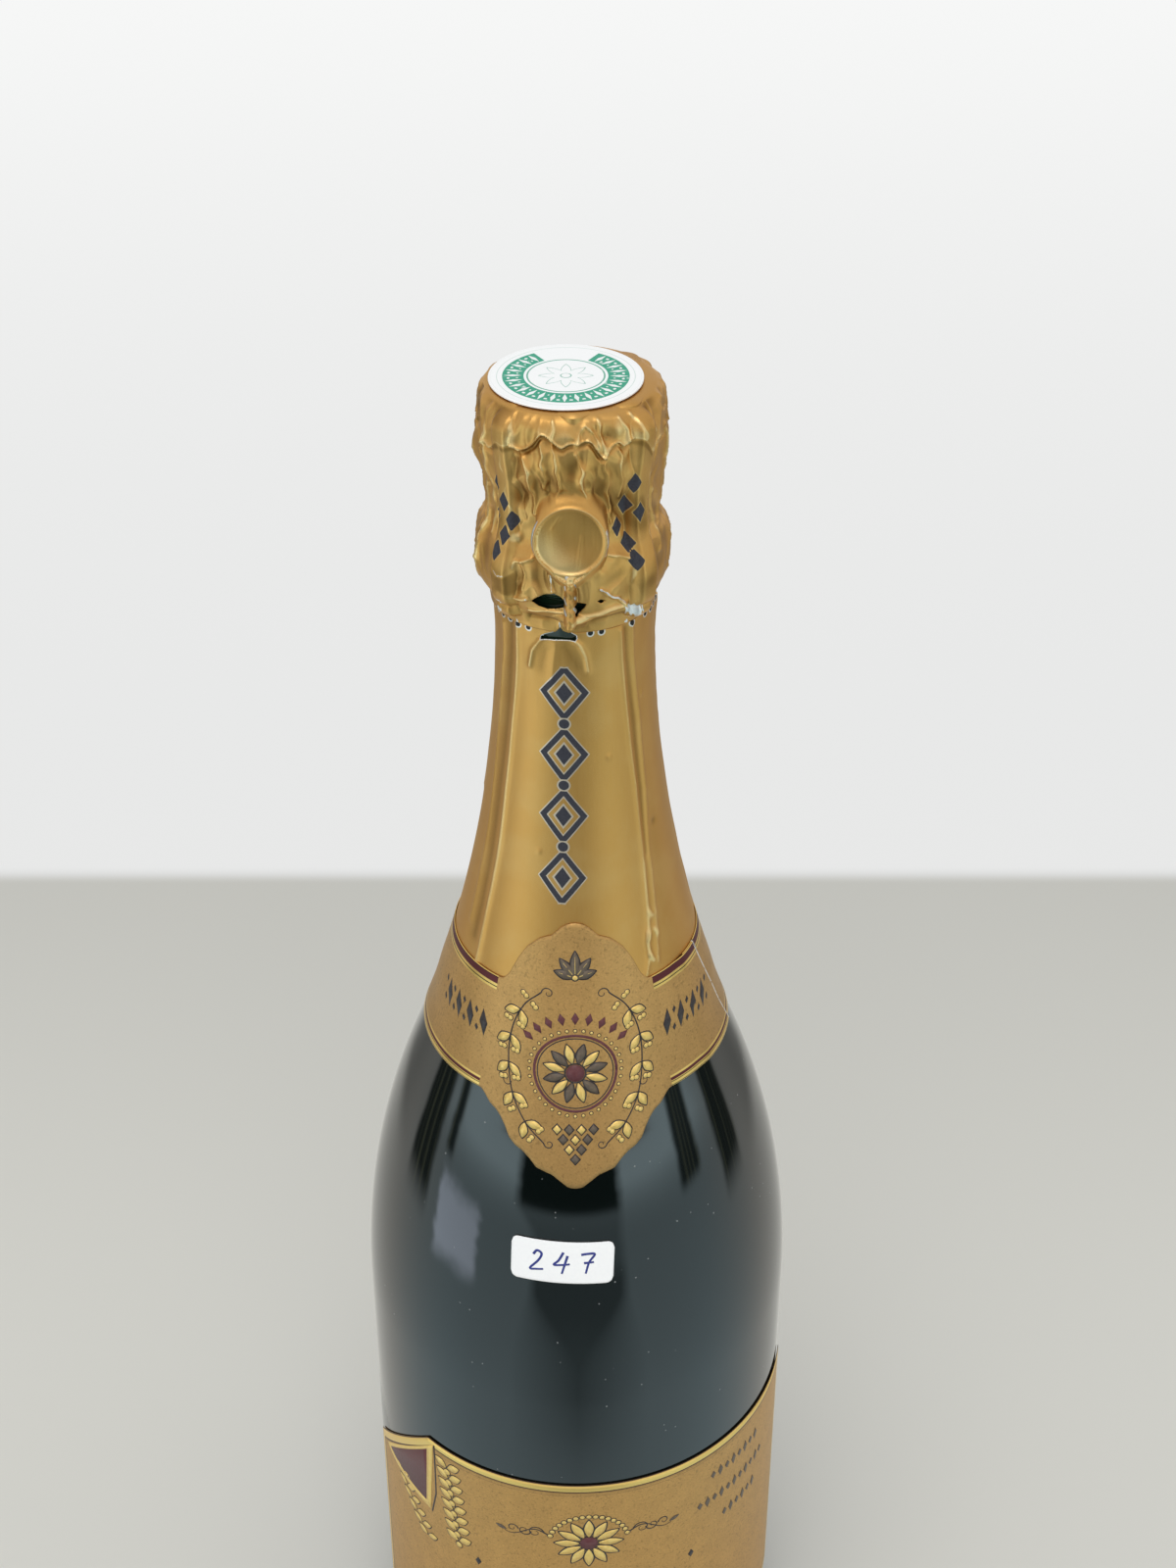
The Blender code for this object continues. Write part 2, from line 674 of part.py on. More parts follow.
def hood_outline():
    """Outer side of the hood, top to bottom, where no wire is under it."""
    skin = GAP + FOIL + HOOD_SLACK
    top = HOOD_TOP
    over_cap = CAP_SKIRT_RADIUS + skin
    over_lip = CORK_HEAD_FOOT_RADIUS + skin + WIRE_RADIUS
    over_annulus = ANNULUS_RADIUS + skin
    over_belt = BELT_RADIUS + WIRE_RADIUS + skin
    middle = (ANNULUS_TOP + ANNULUS_BOTTOM) / 2
    shelf = CAP_LEVEL + GAP + LEG_HALF * 2 + FOIL
    rim = TEAR_LEVEL + TEAR_WIDTH / 2
    points = [(0, top), (HOOD_TOP_RADIUS - GAP, top), (HOOD_TOP_RADIUS, shelf)]
    points.append((over_cap - GAP, CAP_LEVEL + skin))
    points.append((over_cap, CAP_LEVEL - CAP_SKIRT_DEPTH / 2))
    points.append((over_cap, CAP_LEVEL - CAP_SKIRT_DEPTH))
    points.append(((over_cap + over_lip) / 2, CORK_FOOT + CORK_HEAD_HEIGHT / 3))
    points.append((over_lip, CORK_FOOT))
    points.append((over_lip, GLASS_HEIGHT - LIP_HEIGHT / 2))
    points.append((over_annulus, ANNULUS_TOP))
    points.append((over_annulus, middle))
    points.append((over_annulus, ANNULUS_BOTTOM + ANNULUS_ROUND / 2))
    points.append((over_belt, BELT_LEVEL + WIRE))
    points.append((over_belt, BELT_LEVEL - WIRE))
    points.append((NECK_RADIUS + skin, rim))
    return points


def clear_of(spot, reach, height):
    """Radius at a height that clears a round wire about a spot, or 0 away from it."""
    rise = height - spot.y
    if abs(rise) >= reach:
        return 0
    return spot.x + math.sqrt(reach ** 2 - rise ** 2)


def leg_clearance(spine, height):
    """Radius at a height where the foil clears a leg's twist and its eye."""
    skin = GAP + FOIL + HOOD_SLACK
    eye = Vector((EYE_CENTRE, BELT_LEVEL))
    needed = clear_of(eye, EYE_RADIUS + WIRE_RADIUS + skin, height)
    for spot in spine:
        needed = max(needed, clear_of(spot, LEG_HALF + skin, height))
    return needed


def belt_clearance(azimuth, height):
    """Radius at an azimuth and height where the foil clears the belt, or 0 away from it."""
    if abs(height - BELT_LEVEL) > WIRE * 2:
        return 0
    return belt_radius(azimuth) + WIRE_RADIUS + GAP + FOIL + HOOD_SLACK


def loop_push(azimuth, radius, height):
    """How far the stem and the loop push the foil out at the front."""
    skin = GAP + FOIL + HOOD_SLACK
    turn = math.radians(min(angle_between(azimuth, 0), FRONT_ANGLE))
    flat = (STEM_RADIUS + WIRE_RADIUS + skin + GAP) / math.cos(turn)
    across = flat * math.sin(turn)
    away = math.hypot(across, height - LOOP_LEVEL) / (LOOP_RADIUS + WIRE_RADIUS)
    fade = smooth((LOOP_FOLD_SHARE - away) / (LOOP_FOLD_SHARE - LOOP_FLAT_SHARE))
    over_loop = max(flat - radius, 0) * fade
    if height > LOOP_LEVEL or height < STEM_LEVEL - WIRE:
        return over_loop
    stem = STEM_RADIUS + LEG_HALF + skin
    return max(over_loop, max(stem - radius, 0) * bump(across, LEG_HALF * STEM_FOLD_SHARE))


def make_hood(parent):
    """The foil over the cage, above the tear line, pushed out by the wires."""
    gold = finish("hood_foil", (0.48, 0.33, 0.11), 0.38, 1.0)
    spine = through(leg_spine(), HOOD_STEPS)
    bm = spun(hood_outline(), HOOD_STEPS)
    for vert in bm.verts:
        flat = Vector((vert.co.x, vert.co.y, 0))
        radius = flat.length
        if radius < HOOD_TOP_RADIUS - GAP * 2:
            continue
        azimuth = azimuth_of(vert.co)
        height = vert.co.z
        over_leg = max(leg_clearance(spine, height) - radius, 0)
        push = over_leg * bump(nearest_leg(azimuth), LEG_FOLD_ANGLE)
        push = max(push, belt_clearance(azimuth, height) - radius)
        vert.co += flat.normalized() * max(push, loop_push(azimuth, radius, height))
    hood = place("foil_hood", finish_mesh(bm, "foil_hood"), gold, parent)
    return thicken(hood, FOIL)


def make_top_disc(parent):
    """The round card on the hood's flat top."""
    white = finish("top_disc_card", (0.86, 0.87, 0.85), 0.5)
    bottom = HOOD_TOP + GAP
    top = bottom + CARD
    outline = [(0, top), (TOP_DISC_RADIUS, top), (TOP_DISC_RADIUS, bottom), (0, bottom)]
    return turned("top_disc", outline, white, parent, SMALL_STEPS)


def make_sleeve(parent):
    """The foil down the neck, from the tear line to under the collar, with pleats."""
    gold = finish("sleeve_foil", (0.50, 0.35, 0.12), 0.35, 1.0)
    top = TEAR_LEVEL - TEAR_WIDTH / 2
    heights = spread(top, SLEEVE_BOTTOM, SLEEVE_ROWS)
    bm = spun([(glass_radius(height) + GAP + FOIL, height) for height in heights], GLASS_STEPS)
    for vert in bm.verts:
        outward = Vector((vert.co.x, vert.co.y, 0)).normalized()
        near = min(angle_between(azimuth_of(vert.co), pleat) for pleat in PLEAT_AZIMUTHS)
        fade = smooth((vert.co.z - COLLAR_TOP) / SLEEVE_TUCK)
        vert.co += outward * PLEAT_HEIGHT * fade * bump(near, 360 / GLASS_STEPS)
    sleeve = place("foil_sleeve", finish_mesh(bm, "foil_sleeve"), gold, parent)
    return thicken(sleeve, FOIL)


def wrapped(name, outline, rows, lift, material, parent):
    """Paper cut to an outline of (azimuth, height) and wrapped on the glass.

    The flat sheet is cut into strips that can bend, then given its thickness.
    lift gives the height of the paper's inner side above the glass.
    """
    scale = BODY_RADIUS
    bm = bmesh.new()
    azimuths = [azimuth for azimuth, height in outline]
    corners = []
    for azimuth, height in outline:
        corners.append(bm.verts.new((math.radians(azimuth) * scale, 0, height)))
    bm.faces.new(corners)
    step = 360 / GLASS_STEPS
    first = math.floor(min(azimuths) / step) + 1
    last = math.ceil(max(azimuths) / step)
    for column in range(first, last):
        across = math.radians(column * step) * scale
        cut_sheet(bm, (across, 0, 0), (1, 0, 0))
    for height in rows:
        cut_sheet(bm, (0, 0, height), (0, 0, 1))
    bmesh.ops.triangulate(bm, faces=bm.faces)
    grown = bmesh.ops.extrude_face_region(bm, geom=bm.faces[:])
    outer = {item for item in grown["geom"] if isinstance(item, bmesh.types.BMVert)}
    for vert in bm.verts:
        azimuth = math.degrees(vert.co.x / scale)
        height = vert.co.z
        radius = glass_radius(height) + lift(azimuth)
        if vert in outer:
            radius += PAPER
        vert.co = on_bottle(azimuth, radius, height)
    bmesh.ops.recalc_face_normals(bm, faces=bm.faces)
    return place(name, finish_mesh(bm, name), material, parent)


def cut_sheet(bm, point, normal):
    """Cuts a flat sheet along a plane and keeps both sides."""
    bmesh.ops.bisect_plane(
        bm,
        geom=bm.verts[:] + bm.edges[:] + bm.faces[:],
        dist=MERGE,
        plane_co=point,
        plane_no=normal,
    )


def flat_lift(azimuth):
    """Height of plain paper above the glass."""
    return GAP


def collar_lift(azimuth):
    """The collar lies over the sleeve, and its end rises over its start."""
    over_sleeve = GAP + FOIL + GAP
    lap_start = SEAM_TOP_AZIMUTH - SEAM_LAP_ANGLE - SEAM_RAMP_ANGLE
    ramp = smooth((azimuth - lap_start) / SEAM_RAMP_ANGLE)
    return over_sleeve + ramp * (PAPER + GAP)


def collar_cut():
    """The collar's outline: a band with a scalloped medallion, in (azimuth, height)."""
    half = MEDALLION_HALF_ANGLE
    top = []
    for angle_share, rise_share in MEDALLION_TOP_SHARES:
        top.append((-half * angle_share, COLLAR_TOP + MEDALLION_RISE * rise_share))
    top += [(-azimuth, height) for azimuth, height in top[-2::-1]]
    bottom = [(half, COLLAR_BOTTOM)]
    for angle_share, fall_share in MEDALLION_BOTTOM_SHARES:
        bottom.append((half * angle_share, COLLAR_BOTTOM - MEDALLION_FALL * fall_share))
    bottom += [(-azimuth, height) for azimuth, height in bottom[-2::-1]]
    start_shift = -360 - SEAM_LAP_ANGLE
    outer_end = [(SEAM_TOP_AZIMUTH, COLLAR_TOP), (SEAM_BOTTOM_AZIMUTH, COLLAR_BOTTOM)]
    inner_end = [(azimuth + start_shift, height) for azimuth, height in outer_end[::-1]]
    return top + outer_end + bottom + inner_end


def make_collar(parent):
    """The paper collar where the neck meets the shoulder."""
    tan = finish("collar_paper", (0.52, 0.34, 0.12), 0.55)
    rows = spread(COLLAR_BOTTOM, COLLAR_TOP, COLLAR_ROWS + 1)
    rows.append(COLLAR_TOP + MEDALLION_RISE / 2)
    rows.append(COLLAR_BOTTOM - MEDALLION_FALL / 2)
    return wrapped("collar_label", collar_cut(), rows, collar_lift, tan, parent)


def make_label(parent):
    """The front label, with its upper left corner cut off."""
    tan = finish("label_paper", (0.50, 0.32, 0.10), 0.55)
    outline = [
        (LABEL_CUT_AZIMUTH, LABEL_TOP),
        (LABEL_RIGHT_AZIMUTH, LABEL_TOP),
        (LABEL_RIGHT_AZIMUTH, LABEL_BOTTOM),
        (LABEL_LEFT_AZIMUTH, LABEL_BOTTOM),
        (LABEL_LEFT_AZIMUTH, LABEL_TOP - LABEL_CUT_DEPTH),
    ]
    rows = spread(LABEL_BOTTOM, LABEL_TOP, LABEL_ROWS + 1)[1:-1]
    return wrapped("front_label", outline, rows, flat_lift, tan, parent)


def make_sticker(parent):
    """The small white lot sticker on the shoulder."""
    white = finish("sticker_paper", (0.86, 0.87, 0.88), 0.55)
    middle = STICKER_TOP - STICKER_HEIGHT / 2
    around = math.degrees(STICKER_WIDTH / 2 / glass_radius(middle))
    round_angle = math.degrees(STICKER_CORNER / glass_radius(middle))
    outline = []
    for side, level, start in ((1, 1, 90), (1, -1, 0), (-1, -1, -90), (-1, 1, -180)):
        centre_angle = STICKER_AZIMUTH + side * (around - round_angle)
        centre_height = middle + level * (STICKER_HEIGHT / 2 - STICKER_CORNER)
        for angle in spread(math.radians(start), math.radians(start - 90), CORNER_POINTS):
            azimuth = centre_angle + round_angle * math.cos(angle)
            outline.append((azimuth, centre_height + STICKER_CORNER * math.sin(angle)))
    return wrapped("lot_sticker", outline, [middle], flat_lift, white, parent)


def main():
    """Builds the bottle, then its closure from the cork outwards."""
    clear_scene()
    bottle = empty("bottle_frame")
    cork = empty("cork_slide", bottle)
    muselet = empty("muselet_slide", cork)
    hood = empty("hood_slide", muselet)
    make_glass(bottle)
    make_wine(bottle)
    make_sleeve(bottle)
    make_collar(bottle)
    make_label(bottle)
    make_sticker(bottle)
    make_cork(cork)
    make_cork_discs(cork)
    make_crown_cap(muselet)
    make_cage(muselet)
    make_belt(muselet)
    make_loop(muselet)
    make_hood(hood)
    make_top_disc(hood)


main()
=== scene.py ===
"""A sealed sparkling wine bottle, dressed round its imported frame.

Glass, cork, wire cage, crumpled foil, paper and a plain pale stage. Lengths are in metres, or in
millimetres where a name or a docstring says so. Azimuths are in degrees from the front, -Y,
towards +X.
"""

import math
import random

import bmesh
import bpy
import numpy as np
from mathutils import Matrix, Vector, noise


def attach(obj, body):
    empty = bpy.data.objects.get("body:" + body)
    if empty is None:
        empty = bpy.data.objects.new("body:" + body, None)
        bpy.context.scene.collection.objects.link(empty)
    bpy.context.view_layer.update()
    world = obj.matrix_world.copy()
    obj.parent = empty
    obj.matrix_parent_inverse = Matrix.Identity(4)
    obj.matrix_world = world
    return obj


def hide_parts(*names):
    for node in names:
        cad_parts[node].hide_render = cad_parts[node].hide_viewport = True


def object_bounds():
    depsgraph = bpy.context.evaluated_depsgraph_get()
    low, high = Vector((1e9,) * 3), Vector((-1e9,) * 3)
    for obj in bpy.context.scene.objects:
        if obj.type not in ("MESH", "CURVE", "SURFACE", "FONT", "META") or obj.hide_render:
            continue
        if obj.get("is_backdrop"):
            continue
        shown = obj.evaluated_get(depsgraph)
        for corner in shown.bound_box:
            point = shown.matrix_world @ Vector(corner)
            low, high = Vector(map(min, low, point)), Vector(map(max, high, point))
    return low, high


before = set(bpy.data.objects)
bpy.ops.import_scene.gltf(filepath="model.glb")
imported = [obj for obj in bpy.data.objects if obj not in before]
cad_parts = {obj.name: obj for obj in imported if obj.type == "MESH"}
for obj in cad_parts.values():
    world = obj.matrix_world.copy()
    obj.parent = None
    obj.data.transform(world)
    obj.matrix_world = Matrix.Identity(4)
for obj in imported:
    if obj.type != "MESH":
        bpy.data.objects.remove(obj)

bl_info = {
    "name": "Sparkling wine bottle",
    "version": (1, 0, 0),
    "blender": (4, 5, 0),
    "location": "3D View > Sidebar > Bottle",
    "description": "Builds a sealed bottle with its cork, wire cage, foil and paper",
    "category": "Object",
}

MM = 0.001
MERGE = 0.000001
FAR = 1e9

BODY_RADIUS = 0.0442
BODY_TOP = 0.115
SHOULDER_RADIUS = 0.169
NECK_RADIUS = 0.0137
NECK_START = 0.2758
SWEEP_RISE = NECK_START - BODY_TOP
SWEEP_STEP = BODY_RADIUS - NECK_RADIUS
ARC_SUM = (SWEEP_RISE ** 2 + SWEEP_STEP ** 2) / (2 * SWEEP_STEP)
NECK_SWEEP_RADIUS = ARC_SUM - SHOULDER_RADIUS
SWEEP_LEVEL = BODY_TOP + SWEEP_RISE * SHOULDER_RADIUS / ARC_SUM

GLASS_HEIGHT = 0.300
WALL = 0.0046
BASE_THICKNESS = 0.0100
HEEL_RADIUS = 0.008
FOOT_RADIUS = 0.0362
PUNT_RADIUS = 0.0332
CHANNEL_RADIUS = 0.0316
PUNT_DEPTH = 0.030
MOUTH_RADIUS = 0.00885
MOUTH_ROUND = 0.0009
LIP_RADIUS = 0.0144
LIP_HEIGHT = 0.0056
LIP_ROUND = 0.0018
ANNULUS_RADIUS = 0.0161
ANNULUS_BOTTOM = 0.2846
ANNULUS_TOP = 0.2920
ANNULUS_ROUND = 0.0024
WINE_LEVEL = 0.215
FIT_GAP = 0.0003

CORK_FOOT = 0.3003
CORK_TOP = 0.31465
CORK_RADIUS = 0.0085
CORK_HEAD_RADIUS = 0.015
CORK_GROOVE = 0.0009
CAP_NOTCH = 0.0005
CORK_PLUG_BOTTOM = 0.2866
CORK_DISC_LEVELS = ((0.2813, 0.2863), (0.2760, 0.2810))
CORK_HEAD_SIDE = (
    (0.0097, 0.0), (0.0136, 0.0003), (0.0142, 0.0030), (0.0149, 0.0070), (0.0149, 0.0100),
    (0.0143, 0.01375), (0.0132, 0.01435),
)

CAP_LEVEL = 0.31525
CAP_TOP = 0.31825
CAP_CENTRE_RADIUS = 0.0116
CAP_SKIRT_RADIUS = 0.0155
CAP_SKIRT_DEPTH = 0.0048
CAP_SHEET = 0.0003
CAP_ROUND = 0.0013
CAP_CENTRE = ((0.0, 0.0004), (0.0030, 0.0003), (0.0036, 0.0001), (0.0085, 0.0))

WIRE = 0.0009
STRAND_OFFSET = 0.000675
LEG_HALF = 0.001125
LEG_COUNT = 4
LEG_TURNS = 4.25
RING_RADIUS = 0.0131
RING_LEVEL = 0.3160
BELT_LEVEL = 0.2818
BELT_RADIUS = 0.01445
EYE_RADIUS = 0.0012
EYE_CENTRE = 0.01565
STEM_RADIUS = 0.017525
STEM_LEVEL = 0.2830
LOOP_RADIUS = 0.0061
LOOP_SHIFT = -0.0006
LOOP_STEM = 0.0080
LOOP_TURNS = 1.75
LOOP_LEAN = 0.06
LOOP_LEVEL = STEM_LEVEL + LOOP_STEM + LOOP_RADIUS
WIRE_POINTS_PER_TURN = 18

HOOD_TOP = 0.3188
FLAT_TOP = 13.4
FOIL_HEM = 0.00025
TEAR_LEVEL = 0.2781
TEAR_GAP = 0.00012
SLEEVE_BOTTOM = 0.1974
COLLAR_TOP = 0.2059
COLLAR_BOTTOM = 0.1834
DISC_BOTTOM = 0.3191
DISC_TOP = 0.3194
DISC_RADIUS = 0.0131
DISC_SHIFT = -0.0013
DISC_BEVEL = 0.0001
LABEL_TOP = 0.0927
LABEL_BOTTOM = 0.0220
LABEL_SIDES = (-76.0, 82.0)
LABEL_CUT = (-44.6, 0.0717)
LABEL_LIFT = 0.00034
INK_FILM = 0.00002

# Lift of the collar off the glass, and more of it over the sleeve and over its own start.
COLLAR_LIFTS = (0.00034, 0.0003, 0.00026)

# Columns of each foil skin, millimetres per degree, and crowding of the columns to the front.
HOOD_SKIN = (372, 0.288, 0.45)
SLEEVE_SKIN = (340, 0.252, 0.36)

# Seed of the noise vectors that crumple the foil. Without one they change with the clock.
CRUMPLE_SEED = 1795872256

# How far in front of the axis the foil lies over the loop and its stem, in millimetres.
LOOP_PLANE = 17.6
DISH_PLANE = 17.98
STEM_PLANE = 18.84
KNOB_PLANE = 18.9
KNOB_LEVEL = 281.7

# The hood's silhouette, in millimetres: height, radius at the left, radius at the right.
HOOD_SIDES = (
    (318.8, 14.6, 13.3), (318.6, 15.15, 14.05), (317.9, 15.8, 14.8), (316.9, 16.2, 15.2),
    (315.2, 16.45, 15.45), (313.4, 16.6, 15.55), (311.6, 16.8, 15.7), (309.8, 16.95, 15.75),
    (307.9, 16.85, 15.75), (306.1, 16.55, 15.5), (304.2, 15.85, 15.3), (302.4, 15.45, 15.15),
    (300.5, 15.4, 15.05), (298.6, 15.3, 14.95), (296.7, 15.1, 14.85), (294.8, 15.4, 15),
    (293, 16.4, 16), (291.1, 17.05, 16.35), (289.2, 17.3, 16.5), (287.3, 17.35, 16.55),
    (285.3, 17.25, 16.45), (283.4, 16.7, 15.95), (281.3, 15.55, 15.1), (279.6, 15.05, 14.55),
    (278.1, 14.85, 14.35),
)

# Where the hood's upper edge is crimped round the cap: azimuth and height in millimetres.
CRIMP = (
    (-67.1, 309.2), (-60.6, 311.4), (-54, 311), (-47, 312.9), (-42, 312.7), (-37.3, 313),
    (-31.9, 312.5), (-25.2, 313.6), (-21.4, 315), (-18.2, 315.9), (-14, 315.4), (-9.9, 314.4),
    (-6.4, 313.9), (-2.8, 314.5), (3.2, 314.6), (8.2, 315), (11.2, 314.4), (15.1, 312.6),
    (18.1, 311.8), (21.5, 313.2), (27.1, 314), (30.4, 313.2), (35.3, 314), (40.5, 314.1),
    (45, 312.6), (48.4, 311.2), (55.9, 311), (62.8, 311.8),
)

# Creases in the foil: height and width in millimetres, then points of azimuth and height.
HOOD_CREASES = (
    (0.55, 0.42, ((-37.5, 318.7), (-38.5, 316.5), (-38, 314.5), (-35.5, 312.6))),
    (0.35, 0.35, ((-12.5, 318.7), (-12.4, 315.2), (-11.5, 312.4))),
    (0.6, 0.45, ((14, 318.8), (16.5, 316.5), (18.2, 313.4), (18.4, 311.6))),
    (0.4, 0.4, ((29, 318.2), (33, 315.6), (34, 314))),
    (0.5, 0.42, ((37.7, 318.7), (41, 316.5), (42.4, 314.2))),
    (0.4, 0.45, ((-60, 318), (-62, 314.5), (-60.6, 310.9))),
    (0.35, 0.45, ((56, 318), (58, 315.5), (58, 313.4))),
    (-0.35, 1.2, ((4, 316.4), (8, 317.1), (12.5, 316.2))),
    (0.45, 0.45, ((1, 313.8), (3, 316.2), (8, 317.4), (13.5, 316), (15, 313.8))),
    (0.45, 0.6, ((-31, 312.4), (-27, 308.5), (-25.5, 304), (-24, 300.5))),
    (0.4, 0.6, ((-44.7, 312.6), (-43.5, 307), (-42, 302.5), (-40, 299))),
    (0.5, 0.36, ((-11.3, 312), (-8.7, 308.9), (-9.3, 304.9), (-9.8, 300.9))),
    (0.35, 0.5, ((-20, 314), (-17, 309.5), (-17.5, 306))),
    (0.5, 0.34, ((2.5, 312.6), (4.4, 310), (5.6, 307.3), (7.2, 304), (8.5, 300.8))),
    (0.4, 0.6, ((18.4, 311.6), (20.5, 307.5), (22.5, 303), (25, 299))),
    (0.3, 0.55, ((27.9, 313.4), (29.5, 308), (31, 303.5))),
    (0.4, 0.6, ((49.2, 311.6), (50, 306), (48, 300.5), (50, 295))),
    (0.45, 0.65, ((-60.6, 310.9), (-60, 305), (-58, 299.5), (-62, 294))),
    (-0.3, 0.8, ((-36, 310.5), (-34, 304.5), (-33, 299.5))),
    (-0.3, 0.9, ((-15, 309), (-14.5, 303))),
    (-0.28, 0.9, ((12, 309.5), (14, 304), (15.5, 301.5))),
    (0.55, 0.42, (
        (-47.5, 289.4), (-44.8, 288.6), (-40.5, 288.9), (-37.9, 289.9), (-36.3, 291.5),
        (-31, 291.9), (-26.5, 292.6),
    )),
    (0.3, 0.38, ((-31, 291.9), (-30.2, 289.4), (-29.7, 286.8))),
    (0.42, 0.32, ((-13.8, 290.4), (-13.2, 288.9), (-12.9, 287.3))),
    (0.34, 0.42, ((21.2, 293.7), (28.1, 293.1), (36.7, 291.9))),
    (0.42, 0.45, ((36, 292), (36.6, 288), (37.8, 283.4))),
    (0.5, 0.3, ((15.5, 287.5), (19, 286.9), (22.9, 285.8), (27, 285.3), (32, 283.8))),
    (0.3, 0.5, ((-50.5, 289), (-51, 285.5), (-50, 283.5))),
    (-0.22, 0.6, ((-6.5, 300.2), (-8, 298.6), (-10.5, 297.6))),
    (0.3, 0.4, ((4.3, 297.2), (4.6, 294.2), (2.6, 290.6))),
    (0.45, 0.6, ((58, 302.5), (62, 298), (66, 294), (64, 290.5))),
    (0.45, 0.6, ((-66, 303), (-70, 297.5), (-74, 293), (-72, 288))),
    (0.4, 0.55, ((52, 294), (55, 289), (50, 284.5))),
    (0.4, 0.6, ((-80, 312), (-84, 306), (-83, 300))),
    (0.4, 0.6, ((76, 312.5), (79, 306), (82, 300))),
    (0.25, 0.3, ((-9.3, 278.2), (-9.6, 279.9), (-9.5, 281.2))),
    (1.05, 0.95, ((1, 281.8), (8, 282), (18, 282.8), (27, 283.3), (33, 283.4))),
    (0.6, 0.42, ((-28, 282.6), (-20, 283), (-14, 283.1), (-6, 283.3))),
    (-0.55, 0.7, ((-30, 280.6), (-18, 281), (-8, 281.2))),
    (-0.45, 0.8, ((-1, 279.9), (12, 280.3), (24, 281), (33, 281.2))),
    (0.6, 0.45, ((-44, 285), (-38, 284.3), (-33, 284.6), (-28, 285.2))),
    (0.45, 0.4, ((-49, 284), (-47, 281.5), (-48, 279))),
)
HOOD_DENTS = (
    (0.8, 0.9, -38.1, 295.7), (-0.6, 2.1, -19, 306.5), (-0.45, 1.7, 13.5, 306),
    (-0.5, 2, -33, 303.5), (-0.5, 2, 29.5, 301.5), (-0.4, 1.6, -2, 309.5), (0.35, 1.3, -25, 316.6),
    (0.3, 1.5, -5, 316.2), (-0.4, 1, -16, 314.2), (-0.4, 1, 20.5, 315), (0.3, 1.2, 28, 316.4),
    (-0.35, 1, 45, 315), (-0.22, 2.2, 28, 288.5), (-0.22, 2.2, -22, 288.8), (0.3, 1.5, 16, 290.5),
    (-0.4, 1.2, -40, 286.5), (-0.4, 1.4, 44, 287.5), (0.35, 1.4, 38, 307.5), (-0.3, 1.2, 4, 311.5),
    (0.25, 1.2, -28, 309.5),
)

# Openings torn in the foil, in azimuth and height in millimetres.
SLOT_LEFT = (
    (-25.8, 284.7), (-21.1, 286), (-16.8, 286.6), (-11.5, 287), (-7.6, 286.5), (-5.4, 285.7),
    (-5.7, 284.2), (-10.7, 283.8), (-16.3, 283.6), (-21.3, 283.9),
)
SLOT_RIGHT = (
    (0.2, 285.3), (3.1, 285.3), (7.5, 285), (6.2, 284.1), (3.3, 283.1), (1.2, 282.6), (0.6, 283.9),
)
SLIT = ((13.6, 285.2), (15.8, 285.6), (19, 285.2), (16.2, 284.7))
SLOT_LOW = (
    (-23.8, 276.1), (-23.4, 276.7), (-20.5, 277.2), (-15, 277.8), (-12, 278.3), (-9.3, 279.2),
    (-7.1, 278.4), (-2.5, 278), (1.5, 277.4), (2, 276.8), (0.5, 276.4), (-10.5, 276.4),
)

# Dark lozenges printed on the hood: azimuth and height of each middle, in millimetres.
LOZENGES = (
    (-52, 304.2), (-44.9, 301.9), (-39.5, 298.7), (-43.5, 295.9), (-47.5, 292.9), (-52, 298.9),
    (38.5, 305.8), (34.6, 301.6), (42.2, 300.2), (28.9, 297.9), (35, 294.8), (37.5, 291.8),
)
LOZENGE_SIZE = (1.12, 1.95)

# Bare torn metal: radius in millimetres, azimuth and height.
TORN_SPOTS = (
    (0.7, -46.5, 283), (0.8, -48.5, 281.2), (0.6, -47.5, 279.4), (0.5, -42, 278.4),
    (1.35, 38.5, 281.8), (0.9, 41.5, 280.2), (0.5, 38.5, 278.6), (0.35, 24, 285.6),
    (0.35, -28, 285), (0.4, 16, 287.3),
)
SILVER_CREASES = (
    (0.16, ((15.5, 287.5), (19, 286.9), (22.9, 285.8), (27, 285.3), (32, 283.8))),
    (0.12, ((-13.8, 290.4), (-13.2, 288.9), (-12.9, 287.3))),
    (0.12, ((-47.5, 289.4), (-44.8, 288.6), (-40.5, 288.9))),
    (0.14, ((17.8, 299), (18.8, 296.5), (17.5, 294.4))),
    (0.12, ((-9.3, 278.9), (-9.6, 280.4))),
)

